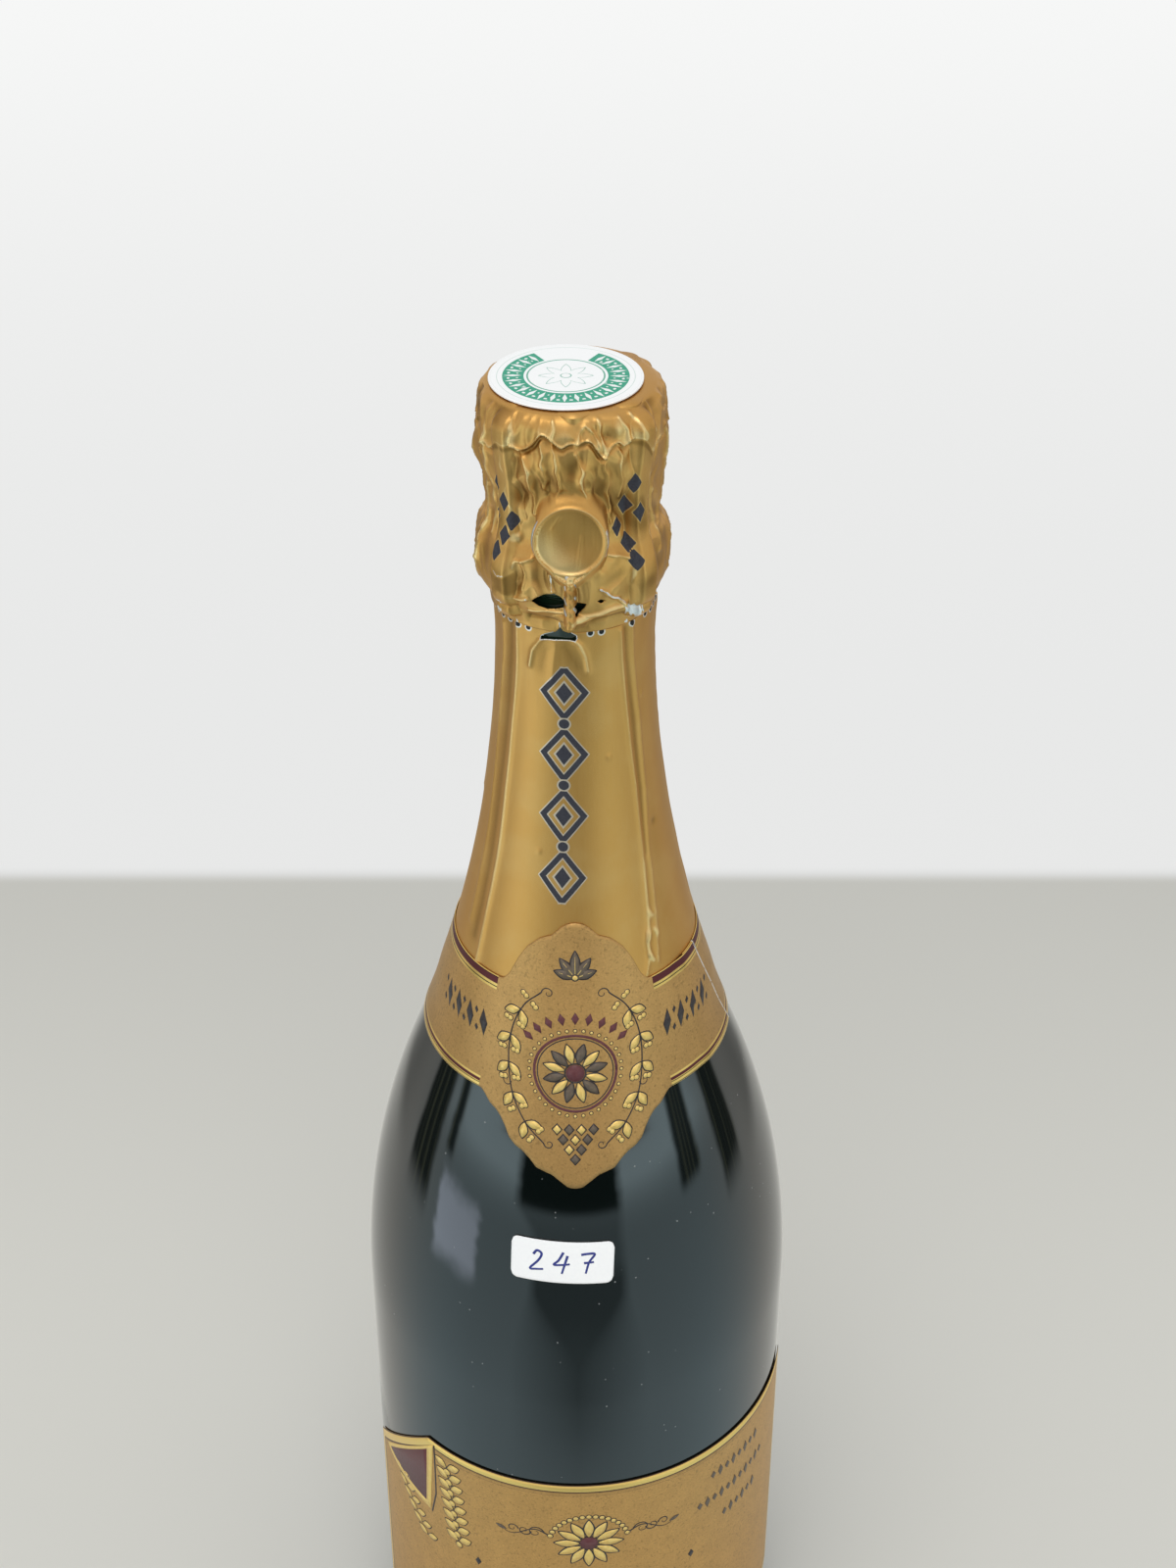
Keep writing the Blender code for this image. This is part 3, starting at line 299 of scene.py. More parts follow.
# Folds down the sleeve: height and width in millimetres, then azimuth and height.
SLEEVE_FOLDS = (
    (0.34, 0.55, (
        (-43.5, 278), (-45, 266.7), (-48.2, 256.3), (-50.2, 243.1), (-50.5, 230.5), (-53, 216),
        (-53.7, 204),
    )),
    (-0.18, 1.5, ((-51, 278), (-54.5, 262), (-58.5, 243), (-58.5, 228), (-60, 210))),
    (0.24, 0.55, ((-60, 276), (-64.7, 262), (-66.8, 248), (-65.7, 232), (-66, 212))),
    (0.32, 0.55, (
        (34.2, 277), (39.8, 258.8), (43.6, 244), (43.8, 231.6), (41.5, 218), (39.6, 213.5),
    )),
    (-0.2, 1.2, ((39, 277), (46, 258), (48.5, 243), (47.5, 230))),
    (0.26, 0.5, ((44.1, 277.5), (51.6, 257.4), (52.7, 242.8), (49.6, 230.7), (47, 218), (43, 208))),
    (0.45, 0.38, ((39.9, 214.6), (38.6, 212.6), (38.6, 210.4), (40.4, 208.8))),
    (0.3, 0.4, ((42.4, 218.4), (44.2, 217.4))),
    (0.28, 0.4, ((43.8, 214.8), (45.6, 213.6))),
    (0.26, 0.45, ((38.8, 210.2), (35.2, 206.4))),
    (0.4, 0.42, ((-33.2, 270), (-30.5, 273.4), (-24.6, 275.7), (-22.5, 276.2))),
    (0.4, 0.42, ((1, 276.3), (4.2, 275.4), (8, 273), (9.8, 270))),
    (0.2, 0.9, ((-13, 275.2), (-15, 271.5), (-16, 268))),
    (-0.12, 1.6, ((-24, 270), (-20, 274), (-6, 275), (2, 271))),
    (0.22, 0.6, ((88, 278), (96, 250), (98, 225), (101, 200))),
    (0.24, 0.6, ((142, 278), (150, 252), (152, 228), (150, 200))),
    (-0.18, 1.2, ((147, 278), (155, 252), (157, 228), (155, 200))),
    (0.2, 0.6, ((-128, 278), (-133, 250), (-131, 225), (-134, 200))),
    (0.18, 0.6, ((-95, 278), (-98, 256), (-96, 236))),
)
SLEEVE_DENTS = (
    (0.2, 0.5, 55.5, 262), (0.22, 0.5, -22, 233), (-0.2, 0.8, 58, 235), (0.2, 0.5, 24, 252),
)
DOTS = (-42.1, -33.6, 11.4, 19.3, 44.2, *range(60, 310, 8))
DOT_LEVEL = 277.72

# The chain printed down the sleeve, in degrees and millimetres.
CHAIN_AZIMUTH = -7.2
CHAIN_LEVEL = 228.4
CHAIN_PITCH = 12.4

# The collar's outline, as shares of the medallion's half angle and of its rise or fall.
MEDALLION_HALF_ANGLE = 36.5
MEDALLION_RISE = 0.0137
MEDALLION_FALL = 0.0154
MEDALLION_TOP = (
    (0, 1), (0.1, 0.985), (0.2, 0.93), (0.33, 0.8), (0.43, 0.765), (0.52, 0.72), (0.6, 0.645),
    (0.67, 0.58), (0.74, 0.46), (0.79, 0.36), (0.88, 0.12), (0.95, 0.02), (1, 0),
)
MEDALLION_BOTTOM = (
    (0, 1), (0.06, 0.985), (0.13, 0.91), (0.2, 0.835), (0.27, 0.8), (0.34, 0.765), (0.41, 0.66),
    (0.48, 0.585), (0.55, 0.54), (0.62, 0.46), (0.67, 0.35), (0.73, 0.25), (0.79, 0.18),
    (0.87, 0.13), (0.95, 0.04), (1, 0),
)
SEAM_TOP_AZIMUTH = 71.0
SEAM_BOTTOM_AZIMUTH = 84.0
SEAM_LAP_ANGLE = 11.0
SEAM_RAMP_ANGLE = 9.0

# One spray of the medallion in millimetres: its stem, and its scrolls as place, size,
# turns, way and width.
SPRAY_STEM = ((6.2, 39.5), (9.6, 36.2), (12, 31), (12.9, 24.5), (12.2, 18), (9.6, 12.6), (6, 8.9))
SPRAY_SCROLLS = (
    (6.2, 39.5, 1.2, 1.1, -1, 0.24), (6, 8.9, 1, -1.1, -1, 0.24), (12.6, 28, 1.1, 1, 1, 0.2),
    (12.4, 20, 1, -1, 1, 0.2),
)

STICKER_MIDDLE = (-3.7, 0.1525)
STICKER_SIZE = (0.020, 0.009)
STICKER_CORNER = 0.0014

# The numbers 2 4 7 in pen, in millimetres from the sticker's middle.
STICKER_NUMBERS = (
    ((-5.6, 1.3), (-4.9, 2.2), (-4, 1.6), (-4.6, 0.1), (-6.2, -1.9), (-5, -1.9), (-3.6, -1.7)),
    ((0.2, 2.3), (-0.7, 0.5), (-1.6, -0.5), (0.2, -0.4), (1.5, -0.2)),
    ((1, 1.6), (0.5, -0.4), (0, -2.4)),
    ((3.6, 1.9), (4.8, 2.1), (6.2, 2), (5.2, 0.3), (4.6, -2.2)),
    ((4.2, 0.1), (5.2, 0.2), (6.1, 0.3)),
)

# The stage: sizes, places and aims of the lamps, then the room card that paints what the gloss
# sees.
KEY_SIZE = 0.7
KEY_PLACE = (-0.12, -0.38, 1.15)
KEY_AIM = (0.12, 0.38, -0.95)
FILL_SIZE = 1.2
FILL_PLACE = (0, -1.25, 0.62)
FILL_TILT = math.radians(70)
FLOOR_HALF = 6.0
ROOM_RADII = (3.0, 0.09)
WINDOW_AZIMUTH = -64.0

# Dark patches painted into the reflections: azimuth, half of its angle, and its distance in metres.
REFLECTED_DARK_PATCHES = ((-94, 9, 0.3), (66, 7, 0.55), (95, 8, 0.33), (-76, 3, 0.6))

COLOUR = {"subtype": "COLOR", "size": 3, "min": 0.0, "max": 1.0}
LENGTH = {"subtype": "DISTANCE", "unit": "LENGTH", "precision": 5}


def colour_property(name, description, default):
    """A colour that can be changed in the panel."""
    return bpy.props.FloatVectorProperty(
        name=name, description=description, default=default, **COLOUR
    )


def number_property(name, description, default, **limits):
    """A number that can be changed in the panel."""
    return bpy.props.FloatProperty(name=name, description=description, default=default, **limits)


def length_property(name, description, default):
    """A length that can be changed in the panel."""
    return number_property(name, description, default, **LENGTH)


class GlassSettings(bpy.types.PropertyGroup):
    """The bottle's glass and what it holds."""

    glass_colour: colour_property("Glass", "Colour of the thick glass", (0.0024, 0.0044, 0.0042))
    thin_colour: colour_property("Thin glass", "Colour at the lip", (0.012, 0.030, 0.016))
    wine_colour: colour_property("Wine", "Colour of the wine", (0.42, 0.27, 0.05))
    gloss: number_property("Roughness", "Roughness of the glass", 0.045, min=0, max=1)


class ClosureSettings(bpy.types.PropertyGroup):
    """The cork, its cap and the wire cage."""

    cork_colour: colour_property("Cork", "Middle colour of the cork", (0.52, 0.34, 0.18))
    steel_colour: colour_property("Wire", "Colour of the bright wire", (0.66, 0.64, 0.60))
    cap_colour: colour_property("Cap", "Colour of the stamped cap", (0.70, 0.55, 0.26))
    wire_thickness: length_property("Wire", "Thickness of the cage's wire", WIRE)


class FoilSettings(bpy.types.PropertyGroup):
    """The gold foil of the hood and the sleeve."""

    gold: colour_property("Gold", "Colour of the foil", (0.625, 0.330, 0.086))
    pale_gold: colour_property("Pale gold", "Colour where the foil is rubbed", (0.70, 0.45, 0.165))
    # The hollows' colour is painted shade; the ridges' colour is painted highlight, partly rubbed
    # wear.
    hollow_shade_gold: colour_property("Deep gold", "Colour of the foil's hollows", (0.27, 0.135, 0.033))
    ridge_highlight_gold: colour_property("Ridges", "Colour of the foil's ridges", (0.92, 0.68, 0.31))
    print_colour: colour_property("Print", "Colour of the dark print", (0.012, 0.012, 0.020))
    bare_metal: colour_property("Bare metal", "Colour of torn edges", (0.82, 0.80, 0.75))
    thickness: length_property("Thickness", "Thickness of the foil", 0.00010)
    crumple: number_property("Crumple", "How strongly the hood is crumpled", 1.0, min=0, max=2)


class PaperSettings(bpy.types.PropertyGroup):
    """The collar, the label, the sticker and the top disc."""

    paper: colour_property("Paper", "Colour of the collar's paper", (0.47, 0.275, 0.092))
    label_paper: colour_property("Label", "Colour of the front label's paper", (0.49, 0.278, 0.085))
    gold_ink: colour_property("Gold ink", "Colour of the gold print", (0.83, 0.57, 0.17))
    dark_ink: colour_property("Dark ink", "Colour of the dark print", (0.020, 0.014, 0.014))
    burgundy: colour_property("Burgundy", "Colour of the red print", (0.105, 0.022, 0.026))
    white_card: colour_property("Card", "Colour of the disc and the sticker", (0.955, 0.965, 0.965))
    green_ink: colour_property("Green ink", "Colour of the disc's ring", (0.030, 0.330, 0.205))
    blue_ink: colour_property("Pen", "Colour of the pen on the sticker", (0.020, 0.030, 0.210))
    thickness: length_property("Thickness", "Thickness of the paper", 0.00013)


class StageSettings(bpy.types.PropertyGroup):
    """The floor, the lights and the camera."""

    floor_colour: colour_property("Floor", "Colour of the floor", (0.700, 0.695, 0.645))
    room_colour: colour_property("Room", "Colour of the room in the gloss", (0.61, 0.775, 0.825))
    wall_colour: colour_property("Wall", "Colour of the backdrop", (0.875, 0.880, 0.875))
    light_level: number_property("World light", "Strength of the soft light all round", 0.74, min=0)
    key_power: number_property("Key light", "Power of the lamp above", 2.4, min=0, unit="POWER")
    fill_power: number_property("Fill light", "Power of the lamp in front", 4, min=0, unit="POWER")
    camera_place: bpy.props.FloatVectorProperty(
        name="Camera", description="Place of the camera",
        default=(0.0024, -0.3646, 0.4828), subtype="XYZ",
    )
    camera_tilt: number_property("Tilt", "Turn about X", math.radians(56), subtype="ANGLE")
    lens: number_property("Lens", "Focal length in millimetres", 53.96, subtype="DISTANCE_CAMERA")


def overload(operation, reflected=False):
    """An operator of Term, which adds one Math node."""

    def method(self, *others):
        values = (self, *others)
        return self.paint.math(operation, *(values[::-1] if reflected else values))

    return method


class Term:
    """A socket's value, so that shader maths reads as Python: | takes the larger, & the smaller."""

    def __init__(self, paint, socket):
        self.paint = paint
        self.socket = socket

    __add__ = __radd__ = overload("ADD")
    __mul__ = __rmul__ = overload("MULTIPLY")
    __or__ = __ror__ = overload("MAXIMUM")
    __and__ = __rand__ = overload("MINIMUM")
    __sub__, __rsub__ = overload("SUBTRACT"), overload("SUBTRACT", True)
    __truediv__, __rtruediv__ = overload("DIVIDE"), overload("DIVIDE", True)
    __gt__, __lt__, __abs__ = overload("GREATER_THAN"), overload("LESS_THAN"), overload("ABSOLUTE")


class Nodes:
    """A node tree, written as Python expressions."""

    def __init__(self, tree):
        self.tree = tree

    def node(self, kind, settings=None, inputs=None, output=0):
        """A node with its settings, then its sockets' values or links."""
        made = self.tree.nodes.new(kind)
        for setting, value in (settings or {}).items():
            if setting == "stops":
                self.set_stops(made.color_ramp, value)
            else:
                setattr(made, setting, value)
        for socket, value in (inputs or {}).items():
            self.feed(made.inputs[socket], value)
        return Term(self, made.outputs[output])

    def feed(self, socket, value):
        """Links a term to a socket, or sets a plain value on it; a colour gets full alpha."""
        if isinstance(value, Term):
            self.tree.links.new(value.socket, socket)
        else:
            socket.default_value = (*value, 1.0) if socket.type == "RGBA" else value

    def set_stops(self, ramp, stops):
        """Gives a colour ramp its stops."""
        while len(ramp.elements) < len(stops):
            ramp.elements.new(1.0)
        for element, (position, colour) in zip(ramp.elements, stops):
            element.position = position
            element.color = (*colour, 1.0)

    def math(self, operation, *values):
        """One Math node."""
        return self.node("ShaderNodeMath", {"operation": operation}, dict(enumerate(values)))

    def length(self, across, along):
        """The diagonal of two sides."""
        return self.math("SQRT", across * across + along * along)

    def ease(self, value, start, end):
        """0 at the start and 1 at the end, eased between them."""
        settings = {"interpolation_type": "SMOOTHSTEP"}
        return self.node("ShaderNodeMapRange", settings, {0: value, 1: start, 2: end})

    def mix(self, share, first, second):
        """Two colours mixed by a share."""
        return self.node("ShaderNodeMix", {"data_type": "RGBA"}, {0: share, 6: first, 7: second}, 2)

    def coats(self, colour, *coats):
        """A colour with others laid over it in turn, each by its share."""
        for share, over in coats:
            colour = self.mix(share, colour, over)
        return colour

    def place(self):
        """Object coordinates."""
        return self.node("ShaderNodeTexCoord", output=3)

    def parts(self, vector):
        """The three numbers of a vector."""
        first = self.node("ShaderNodeSeparateXYZ", inputs={0: vector})
        return [Term(self, socket) for socket in first.socket.node.outputs]

    def stretched(self, scale):
        """Object coordinates scaled along each axis."""
        return self.node("ShaderNodeMapping", inputs={0: self.place(), 3: scale})

    def noise(self, scale, detail=2.0, vector=None, distortion=0.0):
        """Cloudy values from 0 to 1."""
        inputs = {"Scale": scale, "Detail": detail, "Distortion": distortion}
        inputs["Vector"] = vector or self.place()
        return self.node("ShaderNodeTexNoise", inputs=inputs)

    def cells(self, scale, feature="F1", output=0):
        """Voronoi cells: distance, or their random colour at output 1."""
        inputs = {"Scale": scale, "Vector": self.place()}
        return self.node("ShaderNodeTexVoronoi", {"feature": feature}, inputs, output)

    def attribute(self, name):
        """A number kept on the mesh."""
        return self.node("ShaderNodeAttribute", {"attribute_name": name}, output=2)

    def bump(self, height, strength, distance):
        """A normal from a height."""
        inputs = {"Strength": strength, "Distance": distance, "Height": height}
        return self.node("ShaderNodeBump", inputs=inputs)

    def unrolled(self, shift=0.0):
        """Azimuth in degrees, distance from the axis and height, the last two in millimetres."""
        across, depth, height = self.parts(self.place())
        if shift:
            across = across - shift
        azimuth = self.math("ARCTAN2", across, depth * -1) * math.degrees(1)
        return azimuth, self.length(across, depth) / MM, height / MM

    def shown(self):
        """1 for the camera's rays and reflections, 0 for the light on the object."""
        camera = self.node("ShaderNodeLightPath", output="Is Camera Ray")
        return camera | self.node("ShaderNodeLightPath", output="Is Glossy Ray")


class Paint(Nodes):
    """A procedural material, with constants for its Principled shader."""

    def __init__(self, name, **constants):
        self.material = bpy.data.materials.new(name)
        self.material.use_nodes = True
        super().__init__(self.material.node_tree)
        self.shader = self.tree.nodes["Principled BSDF"]
        self.set(**constants)

    def set(self, **values):
        """Feeds sockets of the Principled shader, with _ for a space."""
        for socket, value in values.items():
            self.feed(self.shader.inputs[socket.replace("_", " ")], value)

    def shine(self, colour, share=None):
        """Glows with a colour, instead of the Principled shader or over a share of it."""
        glow = self.node("ShaderNodeEmission", inputs={0: colour, 1: 1.0})
        if share:
            lit = Term(self, self.shader.outputs[0])
            glow = self.node("ShaderNodeMixShader", inputs={0: share, 1: lit, 2: glow})
        self.feed(self.tree.nodes["Material Output"].inputs["Surface"], glow)


def tinted(colour, factor):
    """A colour made paler or darker."""
    return [part * factor for part in colour]


def arc(centre_radius, centre_height, radius, start, end, count):
    """Outline points on a circle, from one angle in degrees to another."""
    turns = np.radians(np.linspace(start, end, count))
    return list(zip(centre_radius + radius * np.cos(turns), centre_height + radius * np.sin(turns)))


def shoulder_and_neck(inset, counts):
    """The two touching arcs of the bottle's side, bottom to top, moved in by an inset."""
    lean = math.degrees(math.asin((SWEEP_LEVEL - BODY_TOP) / SHOULDER_RADIUS))
    middle = NECK_RADIUS + NECK_SWEEP_RADIUS
    centre = BODY_RADIUS - SHOULDER_RADIUS
    shoulder = arc(centre, BODY_TOP, SHOULDER_RADIUS - inset, 0, lean, counts[0])
    neck = arc(middle, NECK_START, NECK_SWEEP_RADIUS + inset, 180 + lean, 180, counts[1])
    return shoulder + neck[1:]


def run_along(steps):
    """How far along a line each of its points lies, from the lengths between them."""
    return np.concatenate(([0.0], np.cumsum(steps)))


SIDE = [(BODY_RADIUS, HEEL_RADIUS)] + shoulder_and_neck(0, (400, 500))
SIDE.append((NECK_RADIUS, ANNULUS_BOTTOM))
SIDE_RADII = np.array([point[0] for point in SIDE])
SIDE_LEVELS = np.array([point[1] for point in SIDE])
SIDE_RUN = run_along(np.hypot(np.diff(SIDE_RADII), np.diff(SIDE_LEVELS)))


def glass_radius(height):
    """Outside radius of the glass at a height, or at many."""
    return np.interp(height, SIDE_LEVELS, SIDE_RADII)


def smooth(value):
    """Eases 0 to 1, for a number or an array."""
    value = np.clip(value, 0.0, 1.0)
    return value * value * (3 - 2 * value)


def bell(distance, width):
    """1 at a distance of 0, falling away over a width."""
    return np.exp(-((distance / width) ** 2))


def band_share(value, start, end, ease=0.8):
    """1 between two values, eased to 0 outside them."""
    return smooth((value - start) / ease + 0.5) * smooth((end - value) / ease + 0.5)


def band(value, start, end):
    """1 between two values of a shader, with sharp ends."""
    return (value > start) * (value < end)


def angle_between(first, second):
    """Smallest difference of azimuths in degrees, with its sign."""
    return (first - second + 180) % 360 - 180


def on_bottle(azimuth, radius, height):
    """A point at an azimuth in degrees from the front."""
    turn = math.radians(azimuth)
    return Vector((radius * math.sin(turn), -radius * math.cos(turn), height))


def spun(outline, steps):
    """A skin spun about Z from an outline of (radius, height)."""
    bm = bmesh.new()
    points = [bm.verts.new((radius, 0, height)) for radius, height in outline]
    edges = [bm.edges.new(pair) for pair in zip(points, points[1:])]
    bmesh.ops.spin(
        bm, geom=points + edges, cent=(0, 0, 0), axis=(0, 0, 1), angle=math.tau, steps=steps,
        use_merge=True,
    )
    bmesh.ops.remove_doubles(bm, verts=bm.verts, dist=MERGE)
    bmesh.ops.recalc_face_normals(bm, faces=bm.faces)
    return bm


def bent_sheet(name, steps, bend):
    """A flat grid whose points, as shares across and up it, are bent into place."""
    bm = bmesh.new()
    bmesh.ops.create_grid(bm, x_segments=steps[0], y_segments=steps[1], size=0.5)
    for vert in bm.verts:
        vert.co = bend(vert.co.x + 0.5, vert.co.y + 0.5)
    bmesh.ops.recalc_face_normals(bm, faces=bm.faces)
    return as_mesh(bm, name)


def as_mesh(bm, name, flat=False):
    """Turns a bmesh into a mesh, smooth unless it is flat."""
    mesh = bpy.data.meshes.new(name)
    bm.to_mesh(mesh)
    bm.free()
    if not flat:
        mesh.shade_smooth()
    return mesh


def in_scene(name, data, location=(0, 0, 0)):
    """A new object in the scene."""
    made = bpy.data.objects.new(name, data)
    made.location = location
    bpy.context.scene.collection.objects.link(made)
    return made


def add_piece(name, mesh, paint, body, slot, *nodes):
    """Puts a finished mesh in the scene, on its body and in place of its CAD nodes."""
    if not mesh.polygons:
        raise RuntimeError(f"{name} has no faces")
    piece = in_scene(name, mesh)
    mesh.materials.append(paint.material)
    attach(piece, body)
    if nodes:
        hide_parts(*nodes)
    return piece


def thicken(piece, thickness):
    """Gives a skin its thickness, inwards."""
    solid = piece.modifiers.new("thickness", "SOLIDIFY")
    solid.thickness = thickness
    solid.offset = -1


def wire_mesh(name, points, closed, radius):
    """A round wire through its points, as a mesh."""
    curve = bpy.data.curves.new(name, "CURVE")
    curve.dimensions = "3D"
    curve.bevel_depth = radius
    curve.bevel_resolution = 3
    curve.use_fill_caps = not closed
    spline = curve.splines.new("POLY")
    spline.points.add(len(points) - 1)
    for spot, point in zip(spline.points, points):
        spot.co = (*point, 1)
    spline.use_cyclic_u = closed
    holder = bpy.data.objects.new(name, curve)
    mesh = bpy.data.meshes.new_from_object(holder)
    bpy.data.objects.remove(holder)
    bpy.data.curves.remove(curve)
    mesh.shade_smooth()
    return mesh


def through(points, count):
    """Evenly spaced points on a smooth curve through the given points."""
    points = [Vector(point) for point in points]
    padded = [points[0] * 2 - points[1]] + points + [points[-1] * 2 - points[-2]]
    fine = []
    for before, start, end, after in zip(padded, padded[1:], padded[2:], padded[3:]):
        cubic = start * 3 - before - end * 3 + after
        square = before * 2 - start * 5 + end * 4 - after
        for share in np.linspace(0, 1, 17)[:-1]:
            bend = cubic * share ** 3 + square * share ** 2
            fine.append((bend + (end - before) * share + start * 2) / 2)
    fine.append(points[-1])
    run = run_along([(after - before).length for before, after in zip(fine, fine[1:])])
    goals = np.linspace(0, run[-1], count)
    axes = [np.interp(goals, run, [point[axis] for point in fine]) for axis in range(len(fine[0]))]
    return [Vector(values) for values in zip(*axes)]


def path_distance(azimuth, height, scale, path):
    """Distance in millimetres from points to a path of (azimuth, height)."""
    pivot = path[0][0]
    across = angle_between(azimuth, pivot) * scale
    nearest = np.full(azimuth.shape, FAR)
    for (first_azimuth, first_height), (last_azimuth, last_height) in zip(path, path[1:]):
        side, up = across - (first_azimuth - pivot) * scale, height - first_height
        step, rise = (last_azimuth - first_azimuth) * scale, last_height - first_height
        share = np.clip((side * step + up * rise) / (step ** 2 + rise ** 2), 0, 1)
        nearest = np.minimum(nearest, np.hypot(side - step * share, up - rise * share))
    return nearest


def inside_path(azimuth, height, path):
    """True for points inside a closed path of (azimuth, height)."""
    inside = np.zeros(azimuth.shape, bool)
    ends = path[1:] + path[:1]
    for (first_azimuth, first_height), (last_azimuth, last_height) in zip(path, ends):
        crosses = (first_height > height) != (last_height > height)
        with np.errstate(divide="ignore", invalid="ignore"):
            share = (height - first_height) / (last_height - first_height)
            edge = first_azimuth + share * (last_azimuth - first_azimuth)
        inside ^= crosses & (azimuth < edge)
    return inside


def signed_distance(azimuth, height, scale, path):
    """Distance in millimetres to a closed path, below 0 inside it."""
    distance = path_distance(azimuth, height, scale, path + path[:1])
    return np.where(inside_path(azimuth, height, path), -distance, distance)


class FoilSkin:
    """A spun skin of foil whose points are moved by their azimuth and height."""

    def __init__(self, outline, steps, scale, crowding):
        """Crowding moves columns from the back to the front."""
        self.bm = spun(outline, steps)
        self.scale = scale
        places = np.array([vert.co[:] for vert in self.bm.verts])
        turn = np.arctan2(places[:, 0], -places[:, 1])
        self.azimuth = np.degrees(turn - crowding * np.sin(turn))
        self.radius = np.hypot(places[:, 0], places[:, 1]) / MM
        self.height = places[:, 2] / MM

    def tear(self, slots, reach):
        """Cuts the slots out, with the points near an edge moved onto it."""
        slope = 0.02
        apart = np.full(self.azimuth.shape, FAR)
        for slot in slots:
            distance = signed_distance(self.azimuth, self.height, self.scale, slot)
            turned = self.azimuth + slope / self.scale
            along = signed_distance(turned, self.height, self.scale, slot)
            above = signed_distance(self.azimuth, self.height + slope, self.scale, slot)
            near = np.abs(distance) < reach
            self.azimuth -= np.where(near, distance * (along - distance) / slope / self.scale, 0)
            self.height -= np.where(near, distance * (above - distance) / slope, 0)
            apart = np.minimum(apart, signed_distance(self.azimuth, self.height, self.scale, slot))
        self.gone = []
        for face in self.bm.faces:
            rows = [vert.index for vert in face.verts]
            azimuth = self.azimuth[rows]
            if apart[rows].min() < reach and azimuth.max() - azimuth.min() < 90:
                spot = (np.array([azimuth.mean()]), np.array([self.height[rows].mean()]))
                if any(inside_path(*spot, slot)[0] for slot in slots):
                    self.gone.append(face)
        self.edge = apart

    def dents(self, dents, scale):
        """Round dents and bumps: height and width in millimetres, azimuth and height."""
        change = np.zeros(self.azimuth.shape)
        for size, width, spot, level in dents:
            across = angle_between(self.azimuth, spot) * scale
            change += size * bell(np.hypot(across, self.height - level), width)
        return change

    def keep(self, name, values):
        """Keeps a number at every point for the material."""
        layer = self.bm.verts.layers.float.new(name)
        for vert, value in zip(self.bm.verts, values):
            vert[layer] = value

    def finish(self, name, radius):
        """Places the points at their new radius in millimetres and gives the mesh."""
        turn = np.radians(self.azimuth)
        places = np.stack((radius * np.sin(turn), -radius * np.cos(turn), self.height), 1) * MM
        for vert, place in zip(self.bm.verts, places):
            vert.co = place
        bmesh.ops.delete(self.bm, geom=self.gone, context="FACES")
        self.turn_edges_in()
        return as_mesh(self.bm, name)

    def turn_edges_in(self):
        """Gives every open edge the foil's thickness."""
        rims = [edge for edge in self.bm.edges if edge.is_boundary]
        for item in bmesh.ops.extrude_edge_only(self.bm, edges=rims)["geom"]:
            if isinstance(item, bmesh.types.BMVert):
                item.co.xy *= 1 - FOIL_HEM / item.co.xy.length


def crumpled(azimuth, height, scale, seed):
    """Sharp ridges between smooth hollows, about -1 to 1, as crumpled foil has."""
    noise.seed_set(CRUMPLE_SEED)
    turn = np.radians(azimuth)
    reach = math.degrees(1) * scale
    values = np.empty(azimuth.shape)
    for i, (angle, level) in enumerate(zip(turn, height)):
        spot = Vector((math.sin(angle) * reach, math.cos(angle) * reach, level * 0.7)) * 0.13
        spot += Vector((seed, seed * 2, 0)) + noise.noise_vector(spot * 1.6) * 0.35
        coarse = abs(noise.noise(spot))
        fine = abs(noise.noise(spot * 2.3))
        values[i] = 0.55 - 1.9 * coarse - 1.0 * fine
    return values


def leg_gap(azimuth):
    """Degrees from an azimuth to the nearest leg."""
    return np.abs(azimuth % 90 - 45)


def from_leg(place):
    """Degrees from a point to the nearest leg."""
    return leg_gap(math.degrees(math.atan2(place.x, -place.y)))


def leg_spine():
    """Middle of a leg's twist as (radius, height), over the cap, the cork and the annulus."""
    over_cap = CAP_SKIRT_RADIUS - CAP_NOTCH + 0.0001 + LEG_HALF
    over_cork = CORK_HEAD_RADIUS - CORK_GROOVE + 0.0002 + LEG_HALF
    over_annulus = ANNULUS_RADIUS + 0.0001 + LEG_HALF
    return (
        (RING_RADIUS + LEG_HALF, RING_LEVEL + FIT_GAP),
        (over_cap - LEG_HALF, CAP_LEVEL + FIT_GAP + LEG_HALF),
        (over_cap + FIT_GAP, CAP_LEVEL),
        (over_cap, CAP_LEVEL - CAP_SKIRT_DEPTH),
        (over_cork, CORK_FOOT + (CORK_TOP - CORK_FOOT) / 3),
        (over_cork, GLASS_HEIGHT - LIP_HEIGHT / 2),
        (over_annulus, (ANNULUS_TOP + ANNULUS_BOTTOM) / 2 + 0.0018),
        (over_annulus, ANNULUS_BOTTOM + 0.0018),
        (EYE_CENTRE + EYE_RADIUS + FIT_GAP, ANNULUS_BOTTOM),
        (EYE_CENTRE + LEG_HALF, BELT_LEVEL + EYE_RADIUS + WIRE),
    )


